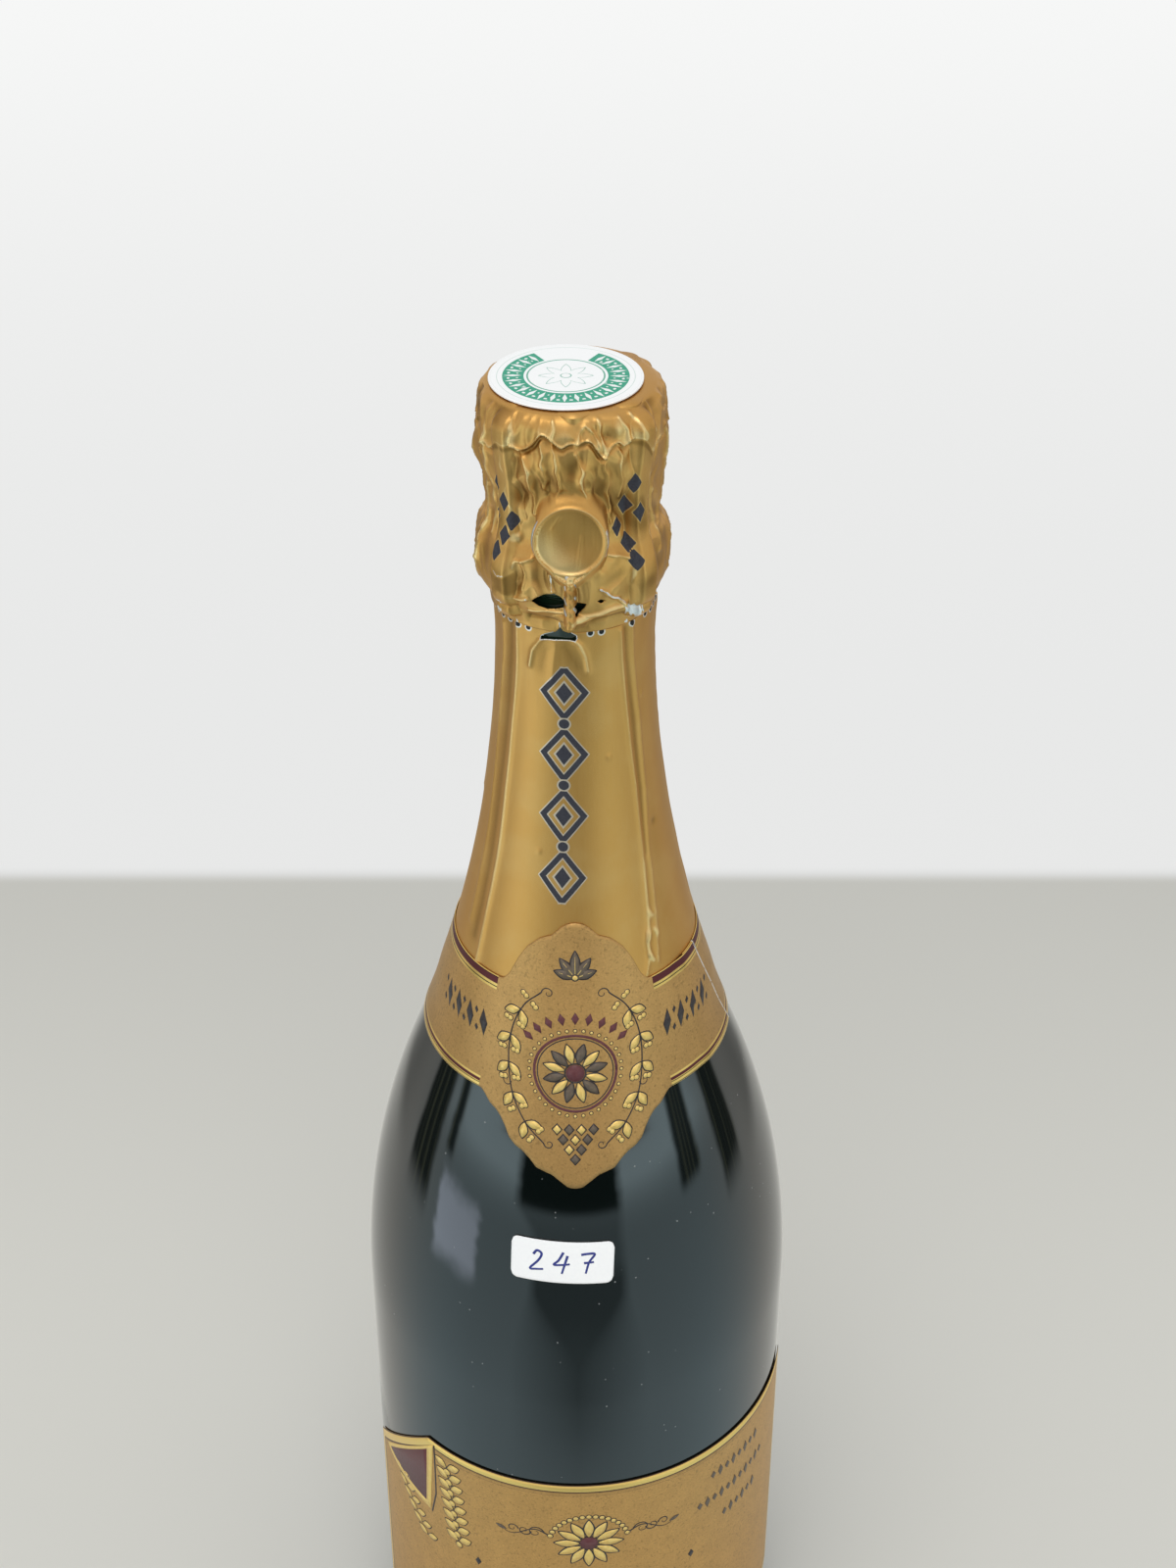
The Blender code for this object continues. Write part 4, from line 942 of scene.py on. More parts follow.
def leg_wire(turn):
    """One leg: down a strand, round the belt's eye and up the other strand."""
    count = round(LEG_TURNS * WIRE_POINTS_PER_TURN) + 1
    spine = through(leg_spine(), count)
    around = Vector((-math.sin(turn), math.cos(turn), 0))
    outward = Vector((math.cos(turn), math.sin(turn), 0))
    up = Vector((0, 0, 1))
    down_strand = []
    up_strand = []
    for i, spot in enumerate(spine):
        along = (spine[min(i + 1, count - 1)] - spine[max(i - 1, 0)]).normalized()
        phase = math.pi + math.tau * LEG_TURNS * i / (count - 1)
        offset = around * math.cos(phase) + (up * along.x - outward * along.y) * math.sin(phase)
        middle = outward * spot.x + up * spot.y
        down_strand.append(middle + offset * STRAND_OFFSET)
        up_strand.append(middle - offset * STRAND_OFFSET)
    eye = arc(EYE_CENTRE, BELT_LEVEL, EYE_RADIUS, 150, 390, 15)
    bend = [outward * radius + up * height for radius, height in eye]
    return down_strand + bend + up_strand[::-1]


def belt_radius(azimuth):
    """The belt hugs the neck, and swells to its eyes and to its twisted ends in front."""
    at_leg = (EYE_CENTRE - BELT_RADIUS) * smooth(1 - leg_gap(azimuth) / 17)
    from_front = np.abs(angle_between(azimuth, 0))
    at_front = (STEM_RADIUS - WIRE - BELT_RADIUS) * smooth(1 - from_front / 17)
    return BELT_RADIUS + at_leg + at_front


def loop_points():
    """The belt's twisted ends and the loop, in place."""
    opening = math.asin(STRAND_OFFSET / LOOP_RADIUS)
    stem_top = LOOP_STEM + LOOP_RADIUS * (1 - math.cos(opening))
    first, second = [], []
    for share in np.linspace(0, 1, round(LOOP_TURNS * WIRE_POINTS_PER_TURN) + 1):
        phase = math.pi + math.tau * LOOP_TURNS * (1 - share)
        offset = Vector((math.cos(phase), math.sin(phase), 0)) * STRAND_OFFSET
        rise = Vector((0, 0, stem_top * share))
        first.append(rise + offset)
        second.append(rise - offset)
    ring = []
    for angle in np.linspace(-math.pi / 2 - opening, opening - math.pi * 2.5, 49)[1:-1]:
        height = LOOP_STEM + LOOP_RADIUS * (1 + math.sin(angle))
        ring.append(Vector((LOOP_RADIUS * math.cos(angle), 0, height)))
    foot = Vector((LOOP_SHIFT, -STEM_RADIUS, STEM_LEVEL))
    points = first + ring + second[::-1]
    return [point + foot + Vector((0, point.z * LOOP_LEAN, 0)) for point in points]


def glass_paint(settings):
    """Thick dark green glass: faint waves, dust and rub marks, and a stippled foot."""
    paint = Paint("dark green glass", IOR=1.52, Specular_IOR_Level=0.74)
    height = paint.unrolled()[2]
    dust = (paint.cells(420) < 0.075) * (paint.noise(90) > 0.57)
    waves = paint.noise(9, 1) + paint.noise(34, 1) * 0.06
    stipple = paint.ease(paint.cells(520), 0.55, 0.2) * paint.ease(height, 9, 5)
    thin = (paint.ease(height, 262, 288), settings.thin_colour)
    paint.set(
        Base_Color=paint.coats(settings.glass_colour, thin, (dust * 0.5, (0.35, 0.36, 0.36))),
        Roughness=settings.gloss + paint.noise(18, 4) * 0.035 + dust * 0.3,
        Normal=paint.bump(waves + stipple * 0.2, 0.35, 0.0012),
    )
    return paint


class BOTTLE_OT_glass(bpy.types.Operator):
    """Spins the glass bottle and the wine in it"""

    bl_idname = "bottle.glass"
    bl_label = "Glass and wine"

    def execute(self, context):
        settings = context.scene.bottle_glass
        mesh = as_mesh(spun(self.outline(), 192), "glass")
        add_piece("glass", mesh, glass_paint(settings), "bottle", "green_glass", "glass_bottle")
        wine = Paint("sparkling wine", Roughness=0.04, IOR=1.34)
        bubbles = (wine.cells(700) < 0.07) * 0.7
        depth = (wine.noise(22, 2), (0.60, 0.42, 0.11))
        tone = wine.coats(settings.wine_colour, depth, (bubbles, (0.9, 0.85, 0.6)))
        wine.set(Base_Color=tone)
        mesh = as_mesh(spun(self.wine_outline(), 96), "wine_fill")
        add_piece("wine_fill", mesh, wine, "bottle", "wine", "wine")
        return {"FINISHED"}

    def punt(self, radius, base, count):
        """The hollow in the base, from its crown out to a radius."""
        shares = np.linspace(0, 1, count)
        return list(zip(radius * shares, base + PUNT_DEPTH * np.cos(shares * math.pi / 2)))

    def outline(self):
        """From the punt's inner crown up the inside, over the lip and down outside."""
        inside = self.punt(CHANNEL_RADIUS, BASE_THICKNESS, 14)
        inside += arc(CHANNEL_RADIUS, BASE_THICKNESS + HEEL_RADIUS, HEEL_RADIUS, -90, 0, 10)[1:]
        inside += shoulder_and_neck(WALL, (14, 18))
        level = GLASS_HEIGHT - MOUTH_ROUND
        inside.append((MOUTH_RADIUS, level))
        inside += arc(MOUTH_RADIUS + MOUTH_ROUND, level, MOUTH_ROUND, 180, 90, 5)[1:]
        lip_bottom = GLASS_HEIGHT - LIP_HEIGHT
        lip = arc(LIP_RADIUS - LIP_ROUND, GLASS_HEIGHT - LIP_ROUND, LIP_ROUND, 90, 0, 7)
        lip += arc(LIP_RADIUS - LIP_ROUND, lip_bottom + LIP_ROUND, LIP_ROUND, 0, -90, 7)
        waist = arc(NECK_RADIUS + 0.0006, lip_bottom - 0.0008, 0.0006, 120, 240, 5)
        middle = ANNULUS_RADIUS - ANNULUS_ROUND
        ring = arc(middle, ANNULUS_TOP - ANNULUS_ROUND, ANNULUS_ROUND, 90, 0, 8)
        ring += arc(middle, ANNULUS_BOTTOM + ANNULUS_ROUND, ANNULUS_ROUND, 0, -90, 8)
        throat = [(NECK_RADIUS, ANNULUS_BOTTOM - 0.0009)]
        outside = shoulder_and_neck(0, (28, 48))[::-1]
        straight = [(BODY_RADIUS, height) for height in np.linspace(0.100, HEEL_RADIUS + 0.004, 9)]
        heel = arc(FOOT_RADIUS, HEEL_RADIUS, HEEL_RADIUS, 0, -90, 12)
        rim = arc(PUNT_RADIUS + 0.0008, 0.0008, 0.0008, -90, -180, 4)
        hollow = self.punt(PUNT_RADIUS, 0, 16)[::-1][1:]
        return inside + lip + waist + ring + throat + outside + straight + heel + rim + hollow

    def wine_outline(self):
        """The wine, a gap inside the glass, up to its surface in the neck."""
        side = shoulder_and_neck(WALL + FIT_GAP, (14, 18))
        side = [point for point in side if point[1] < WINE_LEVEL]
        edge = glass_radius(WINE_LEVEL) - WALL - FIT_GAP
        outline = [(0, WINE_LEVEL), (edge - 0.001, WINE_LEVEL), (edge, WINE_LEVEL + 0.0004)]
        heel = HEEL_RADIUS - FIT_GAP
        outline += side[::-1]
        outline += arc(CHANNEL_RADIUS, BASE_THICKNESS + HEEL_RADIUS, heel, 0, -90, 8)
        return outline + self.punt(CHANNEL_RADIUS, BASE_THICKNESS + FIT_GAP, 12)[::-1][1:]


class BOTTLE_OT_cork(bpy.types.Operator):
    """Turns the mushroom cork and its two natural discs"""

    bl_idname = "bottle.cork"
    bl_label = "Cork"

    def execute(self, context):
        settings = context.scene.bottle_closure
        paint = self.agglomerate(settings)
        add_piece("cork_plug", self.head(), paint, "cork", "agglomerate_cork", "cork_body")
        slots = ("natural_cork_upper", "natural_cork_lower")
        names = ("cork_disc_upper", "cork_disc_lower")
        for name, slot, levels, stain in zip(names, slots, CORK_DISC_LEVELS, (0.15, 0.6)):
            paint = self.natural(settings, slot.replace("_", " "), stain, levels)
            add_piece(name + "_cork", self.disc(name, levels), paint, "cork", slot, name)
        return {"FINISHED"}

    def agglomerate(self, settings):
        """Pressed cork grains of several browns, with small pits."""
        paint = Paint("agglomerated cork", Roughness=0.85)
        browns = ((0.30, 0.17, 0.08), settings.cork_colour, (0.62, 0.44, 0.25), (0.72, 0.55, 0.34))
        stops = {"stops": tuple(zip((0.0, 0.35, 0.75, 1.0), browns))}
        draw = paint.parts(paint.cells(620, output=1))[0]
        grain = paint.node("ShaderNodeValToRGB", stops, {0: draw})
        seam = paint.ease(paint.cells(620, "DISTANCE_TO_EDGE"), 0.09, 0.0)
        pits = paint.ease(paint.noise(900, 3), 0.68, 0.76)
        height = (1 - seam) + paint.noise(1500, 2) * 0.5 - pits
        seams = (seam * 0.7, (0.20, 0.11, 0.05))
        paint.set(
            Base_Color=paint.coats(grain, seams, (pits, (0.12, 0.065, 0.03))),
            Normal=paint.bump(height, 0.5, 0.0003),
        )
        return paint

    def natural(self, settings, name, stain, levels):
        """Natural cork: fine layers, pores, and a wine stain from below."""
        paint = Paint(name, Roughness=0.8)
        layers = paint.noise(240, 4, paint.stretched((1, 5, 1)), 0.4)
        pores = paint.ease(paint.noise(420, 2, paint.stretched((1, 0.35, 2.6))), 0.63, 0.72)
        height = paint.unrolled()[2] + paint.noise(150) * 4
        wet = paint.ease(height, levels[1] / MM + 3, levels[0] / MM + 1) * stain
        coats = (
            (layers, (0.74, 0.54, 0.33)),
            (wet, (0.25, 0.10, 0.05)),
            (pores, (0.13, 0.07, 0.035)),
        )
        paint.set(
            Base_Color=paint.coats(settings.cork_colour, *coats),
            Normal=paint.bump(layers * 0.5 - pores, 0.45, 0.0003),
        )
        return paint

    def head(self):
        """The head swells over the lip, pressed by the wires, and the plug fills the mouth."""
        foot = [(0.0, CORK_PLUG_BOTTOM), (CORK_RADIUS, CORK_PLUG_BOTTOM), (CORK_RADIUS, CORK_FOOT)]
        side = [Vector((radius, CORK_FOOT + rise)) for radius, rise in CORK_HEAD_SIDE]
        top = [(CAP_CENTRE_RADIUS - 0.0007, CORK_TOP), (0.0102, CORK_TOP + 0.0016)]
        top.append((0, CORK_TOP + 0.0017))
        bm = spun(foot + [tuple(point) for point in through(side, 22)] + top, 96)
        for vert in bm.verts:
            radius = math.hypot(vert.co.x, vert.co.y)
            if vert.co.z > CORK_FOOT + 0.001 and radius > 0.0125:
                rough = 0.00012 * (noise.noise(vert.co * 260) + 1)
                pressed = CORK_GROOVE * float(smooth(1.25 - from_leg(vert.co) / 10))
                vert.co.xy *= 1 - (pressed + rough) / radius
        return as_mesh(bm, "cork_plug")

    def disc(self, name, levels):
        """A natural disc with softened edges."""
        bottom, top = levels
        edge = 0.0009 if bottom < 0.28 else 0.0002
        outline = [(0, top), (CORK_RADIUS - 0.0002, top), (CORK_RADIUS, top - 0.0002)]
        outline += [(CORK_RADIUS, bottom + edge), (CORK_RADIUS - edge, bottom), (0, bottom)]
        bm = spun(outline, 72)
        rounded = [
            edge for edge in bm.edges if len(edge.link_faces) == 2 and edge.calc_face_angle() > 0.5
        ]
        bmesh.ops.bevel(
            bm, geom=rounded, affect="EDGES", offset=0.00012, segments=2, profile=0.5, material=-1
        )
        return as_mesh(bm, name)


class BOTTLE_OT_cage(bpy.types.Operator):
    """Stamps the crown cap and bends the wire cage, its belt and its loop"""

    bl_idname = "bottle.cage"
    bl_label = "Wire cage"

    def execute(self, context):
        settings = context.scene.bottle_closure
        self.cap(settings)
        frame_points = []
        step = math.tau / LEG_COUNT
        clear = STRAND_OFFSET / RING_RADIUS * 3
        for turn in step * (np.arange(LEG_COUNT) + 0.5):
            frame_points += leg_wire(turn)
            for angle in np.linspace(turn + clear, turn + step - clear, 24):
                spot = (math.cos(angle) * RING_RADIUS, math.sin(angle) * RING_RADIUS, RING_LEVEL)
                frame_points.append(Vector(spot))
        belt = [on_bottle(spot, belt_radius(spot), BELT_LEVEL) for spot in range(0, 360, 2)]
        loop = loop_points()
        wires = (
            ("cage_wires", frame_points, True, "bright wire", "muselet", "cage_wire", "cage_frame"),
            ("belt", belt, True, "bright belt wire", "muselet", "belt_wire", "belt_wire"),
            ("loop", loop, False, "bright loop wire", "twist_loop", "loop_wire", "wire_loop"),
        )
        for name, points, closed, finish, body, slot, node in wires:
            mesh = wire_mesh(name, points, closed, settings.wire_thickness / 2)
            add_piece(name, mesh, self.steel(finish, settings), body, slot, node)
        return {"FINISHED"}

    def steel(self, name, settings):
        """Galvanised wire: drawing marks and dull patches."""
        paint = Paint(name, Metallic=1.0)
        patches = paint.noise(420, 3)
        dull = paint.ease(patches, 0.35, 0.7)
        scratches = paint.noise(2600, 2, paint.stretched((1, 1, 0.25)))
        paint.set(
            Base_Color=paint.mix(dull, settings.steel_colour, (0.42, 0.41, 0.39)),
            Roughness=0.24 + patches * 0.22,
            Normal=paint.bump(scratches, 0.25, 0.00005),
        )
        return paint

    def cap(self, settings):
        """A pressed cap: domed centre, stepped shelf, rolled skirt and four wire notches."""
        paint = Paint("stamped cap", Metallic=1.0)
        _, radius, height = paint.unrolled()
        ring = (paint.ease(abs(radius - 9.6), 0.35, 0.2), settings.steel_colour)
        skirt = (paint.ease(height, 314.4, 313.4), (0.62, 0.61, 0.58))
        brushed = paint.noise(1800, 2, paint.stretched((1, 1, 0.3)))
        paint.set(
            Base_Color=paint.coats(settings.cap_colour, ring, skirt),
            Roughness=0.26 + paint.noise(300, 3) * 0.18,
            Normal=paint.bump(brushed, 0.2, 0.00004),
        )
        outer = [(radius, CAP_TOP - drop) for radius, drop in CAP_CENTRE]
        outer += arc(CAP_CENTRE_RADIUS - CAP_ROUND, CAP_TOP - CAP_ROUND, CAP_ROUND, 80, 0, 7)
        outer += arc(CAP_CENTRE_RADIUS + 0.0005, CAP_LEVEL + 0.0005, 0.0005, 180, 270, 5)
        outer += arc(CAP_SKIRT_RADIUS - CAP_ROUND, CAP_LEVEL - CAP_ROUND, CAP_ROUND, 90, 0, 8)
        inner = [(max(radius - CAP_SHEET, 0.0), level - CAP_SHEET) for radius, level in outer]
        skirt_end = CAP_LEVEL - CAP_SKIRT_DEPTH
        ends = ((0, 0.0008), (0.00005, 0.0003), (CAP_SHEET, 0.0003))
        rim = [(CAP_SKIRT_RADIUS - inset, skirt_end + rise) for inset, rise in ends]
        bm = spun(outer + rim + inner[::-1], 144)
        for vert in bm.verts:
            radius = math.hypot(vert.co.x, vert.co.y)
            if radius > CAP_SKIRT_RADIUS - 0.0024 and vert.co.z > skirt_end + 0.0012:
                vert.co.xy *= 1 - CAP_NOTCH * float(smooth(1.3 - from_leg(vert.co) / 8)) / radius
        add_piece("cap", as_mesh(bm, "cap"), paint, "muselet", "crown_cap_steel", "crown_cap")


def foil_paint(name, settings, smoothness=0.33):
    """Satin gold foil: fine brushing down its length, painted shade in the hollows, and ridges
    paler as painted highlight and rubbed wear.
    """
    paint = Paint(name)
    brushed = paint.noise(2400, 3, paint.stretched((1, 1, 0.05)))
    grain = paint.noise(5200, 1)
    patches = paint.noise(95, 3)
    relief = paint.attribute("relief") + (grain - 0.5) * 0.25
    gold = paint.coats(
        settings.gold,
        (paint.ease(patches, 0.42, 0.72) * 0.30 + brushed * 0.35, settings.pale_gold),
        # Painted shade in the hollows and painted highlight on the ridges, driven by the relief
        # kept on the mesh.
        (paint.ease(relief, 0.05, -0.75) * 0.78, settings.hollow_shade_gold),
        (paint.ease(relief, 0.42, 1.05) * 0.8, settings.ridge_highlight_gold),
    )
    return paint, gold, smoothness + brushed * 0.12 + patches * 0.08, brushed * 0.6 + grain * 0.25


class BOTTLE_OT_hood(bpy.types.Operator):
    """Drapes the crumpled foil over the cage, torn at the slots"""

    bl_idname = "bottle.hood"
    bl_label = "Foil hood"

    def execute(self, context):
        settings = context.scene.bottle_foil
        skin = FoilSkin(self.outline(), *HOOD_SKIN)
        skin.tear((SLOT_LEFT, SLOT_RIGHT, SLIT, SLOT_LOW), 0.12)
        radius = self.shape(skin, settings.crumple)
        skin.keep("lozenge", self.lozenges(skin))
        skin.keep("silver", self.silver(skin))
        skin.keep("relief", self.relief)
        mesh = skin.finish("hood", radius)
        add_piece("hood", mesh, self.paint(settings), "hood", "hood_foil", "foil_hood")
        return {"FINISHED"}

    def outline(self):
        """From the middle of the top to the tear line, in even steps down the side."""
        side = [((left + right) / 2 * MM, height * MM) for height, left, right in HOOD_SIDES]
        side[-1] = (side[-1][0], TEAR_LEVEL + TEAR_GAP / 2)
        top = [(radius, HOOD_TOP) for radius in np.linspace(0, side[0][0], 8)[:-1]]
        return top + [tuple(point) for point in through(side, 232)]

    def shape(self, skin, crumple):
        """The radius of every point in millimetres, with its folds, clear of the wires."""
        azimuth, height = skin.azimuth, skin.height
        levels = np.array(HOOD_SIDES)[::-1]
        lean = np.interp(height, levels[:, 0], (levels[:, 1] - levels[:, 2]) / 2)
        sides = smooth((HOOD_TOP / MM - 0.04 - height) / 0.7)
        away = np.clip((height - TEAR_LEVEL / MM) / 1.2, 0, 1)
        calm = 0.85 + 0.15 * smooth((np.abs(azimuth) - 40) / 35)
        calm = calm * (0.4 + 0.6 * smooth((height - 284) / 3))
        folds = crumpled(azimuth, height, skin.scale, 3.1)
        change = crumple * 0.62 * calm * folds + self.crimp(azimuth, height)
        change += skin.dents(HOOD_DENTS, skin.scale)
        sway = 0.24 * np.sin(height * 1.25 + azimuth * 0.17)
        sway += 0.07 * np.sin(height * 2.7 - azimuth * 0.23)
        lifted = height + 0.12 * np.sin(azimuth * 0.33 + height * 0.9)
        line = np.zeros(change.shape)
        for size, width, path in HOOD_CREASES + self.more_creases():
            distance = path_distance(azimuth + sway / skin.scale, lifted, skin.scale, path)
            sharp = np.exp(-1.5 * distance / width) * 0.6 + bell(distance, width * 0.8) * 0.4
            change += crumple * size * sharp
            line = np.maximum(line, 1.1 * size * bell(distance, 0.22))
        line *= 0.30 + 0.70 * smooth(folds * 1.6 + 0.75)
        # The relief becomes colour in the paint: painted shade in the hollows and the tuck under
        # the crimp, and painted highlight on the ridges, on the crimp's lip and, through line,
        # along the crease crests.
        self.relief = (change * 1.35 - 0.06 + line) * sides
        plate, on_plate, stem = self.over_loop(azimuth, height)
        radius = skin.radius - lean * np.sin(np.radians(azimuth))
        radius += change * sides * away * (1 - on_plate)
        radius = np.maximum(radius, self.over_wires(azimuth, height) * away)
        radius += np.clip(plate - radius, 0, None) * on_plate
        self.relief = self.relief * (1 - on_plate) + self.on_dish * on_plate
        return np.where(skin.radius < FLAT_TOP, skin.radius, np.maximum(radius, stem))

    def crimp(self, azimuth, height):
        """The head's edge is gathered to a zig-zag ledge round the cap."""
        draws = random.Random(11)
        points = list(CRIMP)
        for i, spot in enumerate(np.arange(70.0, 287.0, 8.6)):
            level = 313.8 if i % 2 else 311.6
            points.append((spot + draws.uniform(-2, 2), level + draws.uniform(-0.5, 0.5)))
        points.sort()
        first = points[0][0]
        line = through(points + [(first + 360, points[0][1])], 900)
        ledge = np.interp((azimuth - first) % 360 + first, *zip(*line))
        above = height - ledge
        step = 0.50 * smooth((above + 0.12) / 0.26) * np.exp(-np.clip(above, 0, None) / 3.2)
        edge = step - 0.50 * bell(above + 0.62, 0.50) + 0.34 * bell(above - 0.12, 0.17)
        return edge * (1 - 0.65 * smooth((np.abs(azimuth) - 50) / 25))

    def more_creases(self):
        """Drapes and tucks where the photo doesn't look: the sides and the back."""
        draws = random.Random(5)
        creases = []
        for i in range(15):
            spot = 74 + i * 15.0 + draws.uniform(-3, 3)
            drift = draws.uniform(-5, 5)
            drop = ((0, 312), (1, 307.5), (1.2, 303), (0.4, 298.5))
            path = [(spot + drift * share, level) for share, level in drop]
            creases.append((draws.uniform(0.2, 0.38), draws.uniform(0.5, 0.7), path))
            spot += draws.uniform(-4, 4)
            path = [(spot, 318.6)] + self.strayed(draws, spot, ((2, 316), (3, 313.4)))
            creases.append((draws.uniform(0.12, 0.22), draws.uniform(0.4, 0.5), path))
            spot += draws.uniform(4, 8)
            path = [(spot, 295)] + self.strayed(draws, spot, ((4, 291), (7, 287), (7, 283.5)))
            creases.append((draws.uniform(0.25, 0.45), draws.uniform(0.4, 0.6), path))
        return tuple(creases)

    def strayed(self, draws, spot, steps):
        """Points near an azimuth, each up to a number of degrees off it and at its level."""
        return [(spot + draws.uniform(-reach, reach), level) for reach, level in steps]

    def over_wires(self, azimuth, height):
        """Radius that clears the legs' twists, their eyes and the belt."""
        cover = 0.20
        rows = np.linspace(TEAR_LEVEL / MM, HOOD_TOP / MM, 500)
        needed = np.zeros(rows.shape)
        wires = [(spot / MM, LEG_HALF) for spot in through(leg_spine(), 90)]
        wires.append((Vector((EYE_CENTRE, BELT_LEVEL)) / MM, EYE_RADIUS + WIRE / 2))
        for spot, half in wires:
            needed = np.maximum(needed, spot.x + self.bulge(rows - spot.y, half / MM + cover))
        leg = leg_gap(azimuth)
        over_leg = np.interp(height, rows, needed)
        ridge = over_leg - 2.6 * smooth((leg - 3.8) / 8.5) - 20 * smooth((leg - 11) / 3)
        reach = WIRE / 2 / MM + cover + 0.25
        above = height - BELT_LEVEL / MM
        spread = bell(above - 0.1, 1.15) * (reach + 1.0) - 1.0
        over_belt = belt_radius(azimuth) / MM + np.maximum(self.bulge(above, reach), spread)
        over_cap = (CAP_SKIRT_RADIUS / MM + 0.16) * band_share(height, 310.1, 315.3, 0.5)
        return np.maximum(np.maximum(ridge, over_belt), over_cap)

    def bulge(self, above, reach):
        """How far a round wire stands out at a height above its middle, far below 0 clear of it."""
        rise = np.sqrt(np.clip(reach ** 2 - above ** 2, 0, None))
        return np.where(np.abs(above) < reach, rise, -FAR)

    def over_loop(self, azimuth, height):
        """The dish pressed into the loop, how far a point is on it, and the twisted stem."""
        turn = np.radians(np.clip(azimuth, -50, 50))
        across = LOOP_PLANE * np.tan(turn) - LOOP_SHIFT / MM
        above = height - LOOP_LEVEL / MM
        ring = np.hypot(across, above) - LOOP_RADIUS / MM
        over_wire = bell(ring, 0.28)
        tip = smooth(-above / 5.5) * smooth(1 - np.abs(across) / 4.4)
        ring -= tip * np.clip(-above - 4.6, 0, 1.6)
        rim = 0.42 * np.maximum(over_wire, bell(ring, 0.26))
        # Painted shading over the dish, lighter to the lower left and darker to the upper right,
        # with a painted highlight on its rim; both go into the relief.
        glow = 0.36 - 0.09 * across - 0.10 * above
        self.on_dish = 0.8 * bell(ring, 0.3) + glow * (ring < -0.3)
        dish = 0.10 * np.sin(across * 0.9 + 0.6) * smooth(-ring / 3) - 0.50 * smooth(-ring / 5.5)
        pleat = 0.07 * bell(across - 1.9 - above * 0.12, 0.26) * band_share(above, -5.4, 1.0)
        tuck = -0.12 * bell(across + 2.6 - (above - 3.2) * 0.7, 0.3) * band_share(above, 2.2, 4.6)
        back = LOOP_LEAN * np.clip(height - STEM_LEVEL / MM, 0, 24)
        plate = (DISH_PLANE - back + rim + dish * (ring < 0) + pleat + tuck) / np.cos(turn)
        reach = 1.4 + 1.1 * smooth(above / 6) ** 2 + 0.4 * smooth(across / 5)
        on_plate = smooth(1 - (ring - 0.30) / reach) * (np.abs(azimuth) < 50)
        twist = 0.13 * np.sin(math.tau * (height / 1.7 + across / 2.9))
        twist -= np.abs(across / 0.90) ** 2.6
        ends = smooth((height - 290.6) / 0.8) + smooth((281.0 - height) / 0.9)
        stem = STEM_PLANE - back + twist - 5 * ends
        knob = KNOB_PLANE - 1.1 * np.hypot(across / 0.95, (height - KNOB_LEVEL) / 0.9) ** 2.6
        return plate, on_plate, np.maximum(stem, knob) / np.cos(turn)

    def lozenges(self, skin):
        """Distance to the nearest printed lozenge, 1 at its edge."""
        nearest = np.full(skin.azimuth.shape, 9.0)
        for spot, level in LOZENGES:
            across = np.abs(angle_between(skin.azimuth, spot)) * skin.scale / LOZENGE_SIZE[0]
            nearest = np.minimum(nearest, across + np.abs(skin.height - level) / LOZENGE_SIZE[1])
        return nearest

    def silver(self, skin):
        """How far the gold is torn or rubbed off, 0 to 1."""
        worn = smooth(1 - np.abs(skin.edge) / 0.16) * 0.42
        worn *= smooth((np.abs(skin.azimuth + 2) - 2.5) / 1.5)
        ragged = 1 + np.sin(skin.azimuth * 3.1 + skin.height * 2.3) * 0.22
        for size, spot, level in TORN_SPOTS:
            distance = np.hypot(angle_between(skin.azimuth, spot) * skin.scale, skin.height - level)
            worn = np.maximum(worn, smooth((size * ragged - distance) / 0.3))
        for width, path in SILVER_CREASES:
            distance = path_distance(skin.azimuth, skin.height, skin.scale, path)
            worn = np.maximum(worn, smooth(1.5 - distance / width) * 0.85)
        return worn

    def paint(self, settings):
        """Foil with dark lozenges and bare metal where it is torn."""
        paint, gold, roughness, height = foil_paint("crumpled gold foil", settings)
        lozenge = paint.attribute("lozenge")
        printed = lozenge < 1.0
        ink = paint.mix(paint.noise(3000, 1), settings.print_colour, (0.050, 0.050, 0.062))
        torn = paint.ease(paint.attribute("silver") + (paint.noise(900) - 0.5) * 1.3, 0.5, 0.7)
        edge = ((lozenge < 1.16) * (1 - printed) * 0.6, settings.pale_gold)
        paint.set(
            Base_Color=paint.coats(gold, edge, (printed, ink), (torn, settings.bare_metal)),
            Metallic=1 - printed * 0.75,
            Roughness=roughness + printed * 0.12,
            Normal=paint.bump(height + torn * 0.5, 0.22, 0.00012),
        )
        return paint


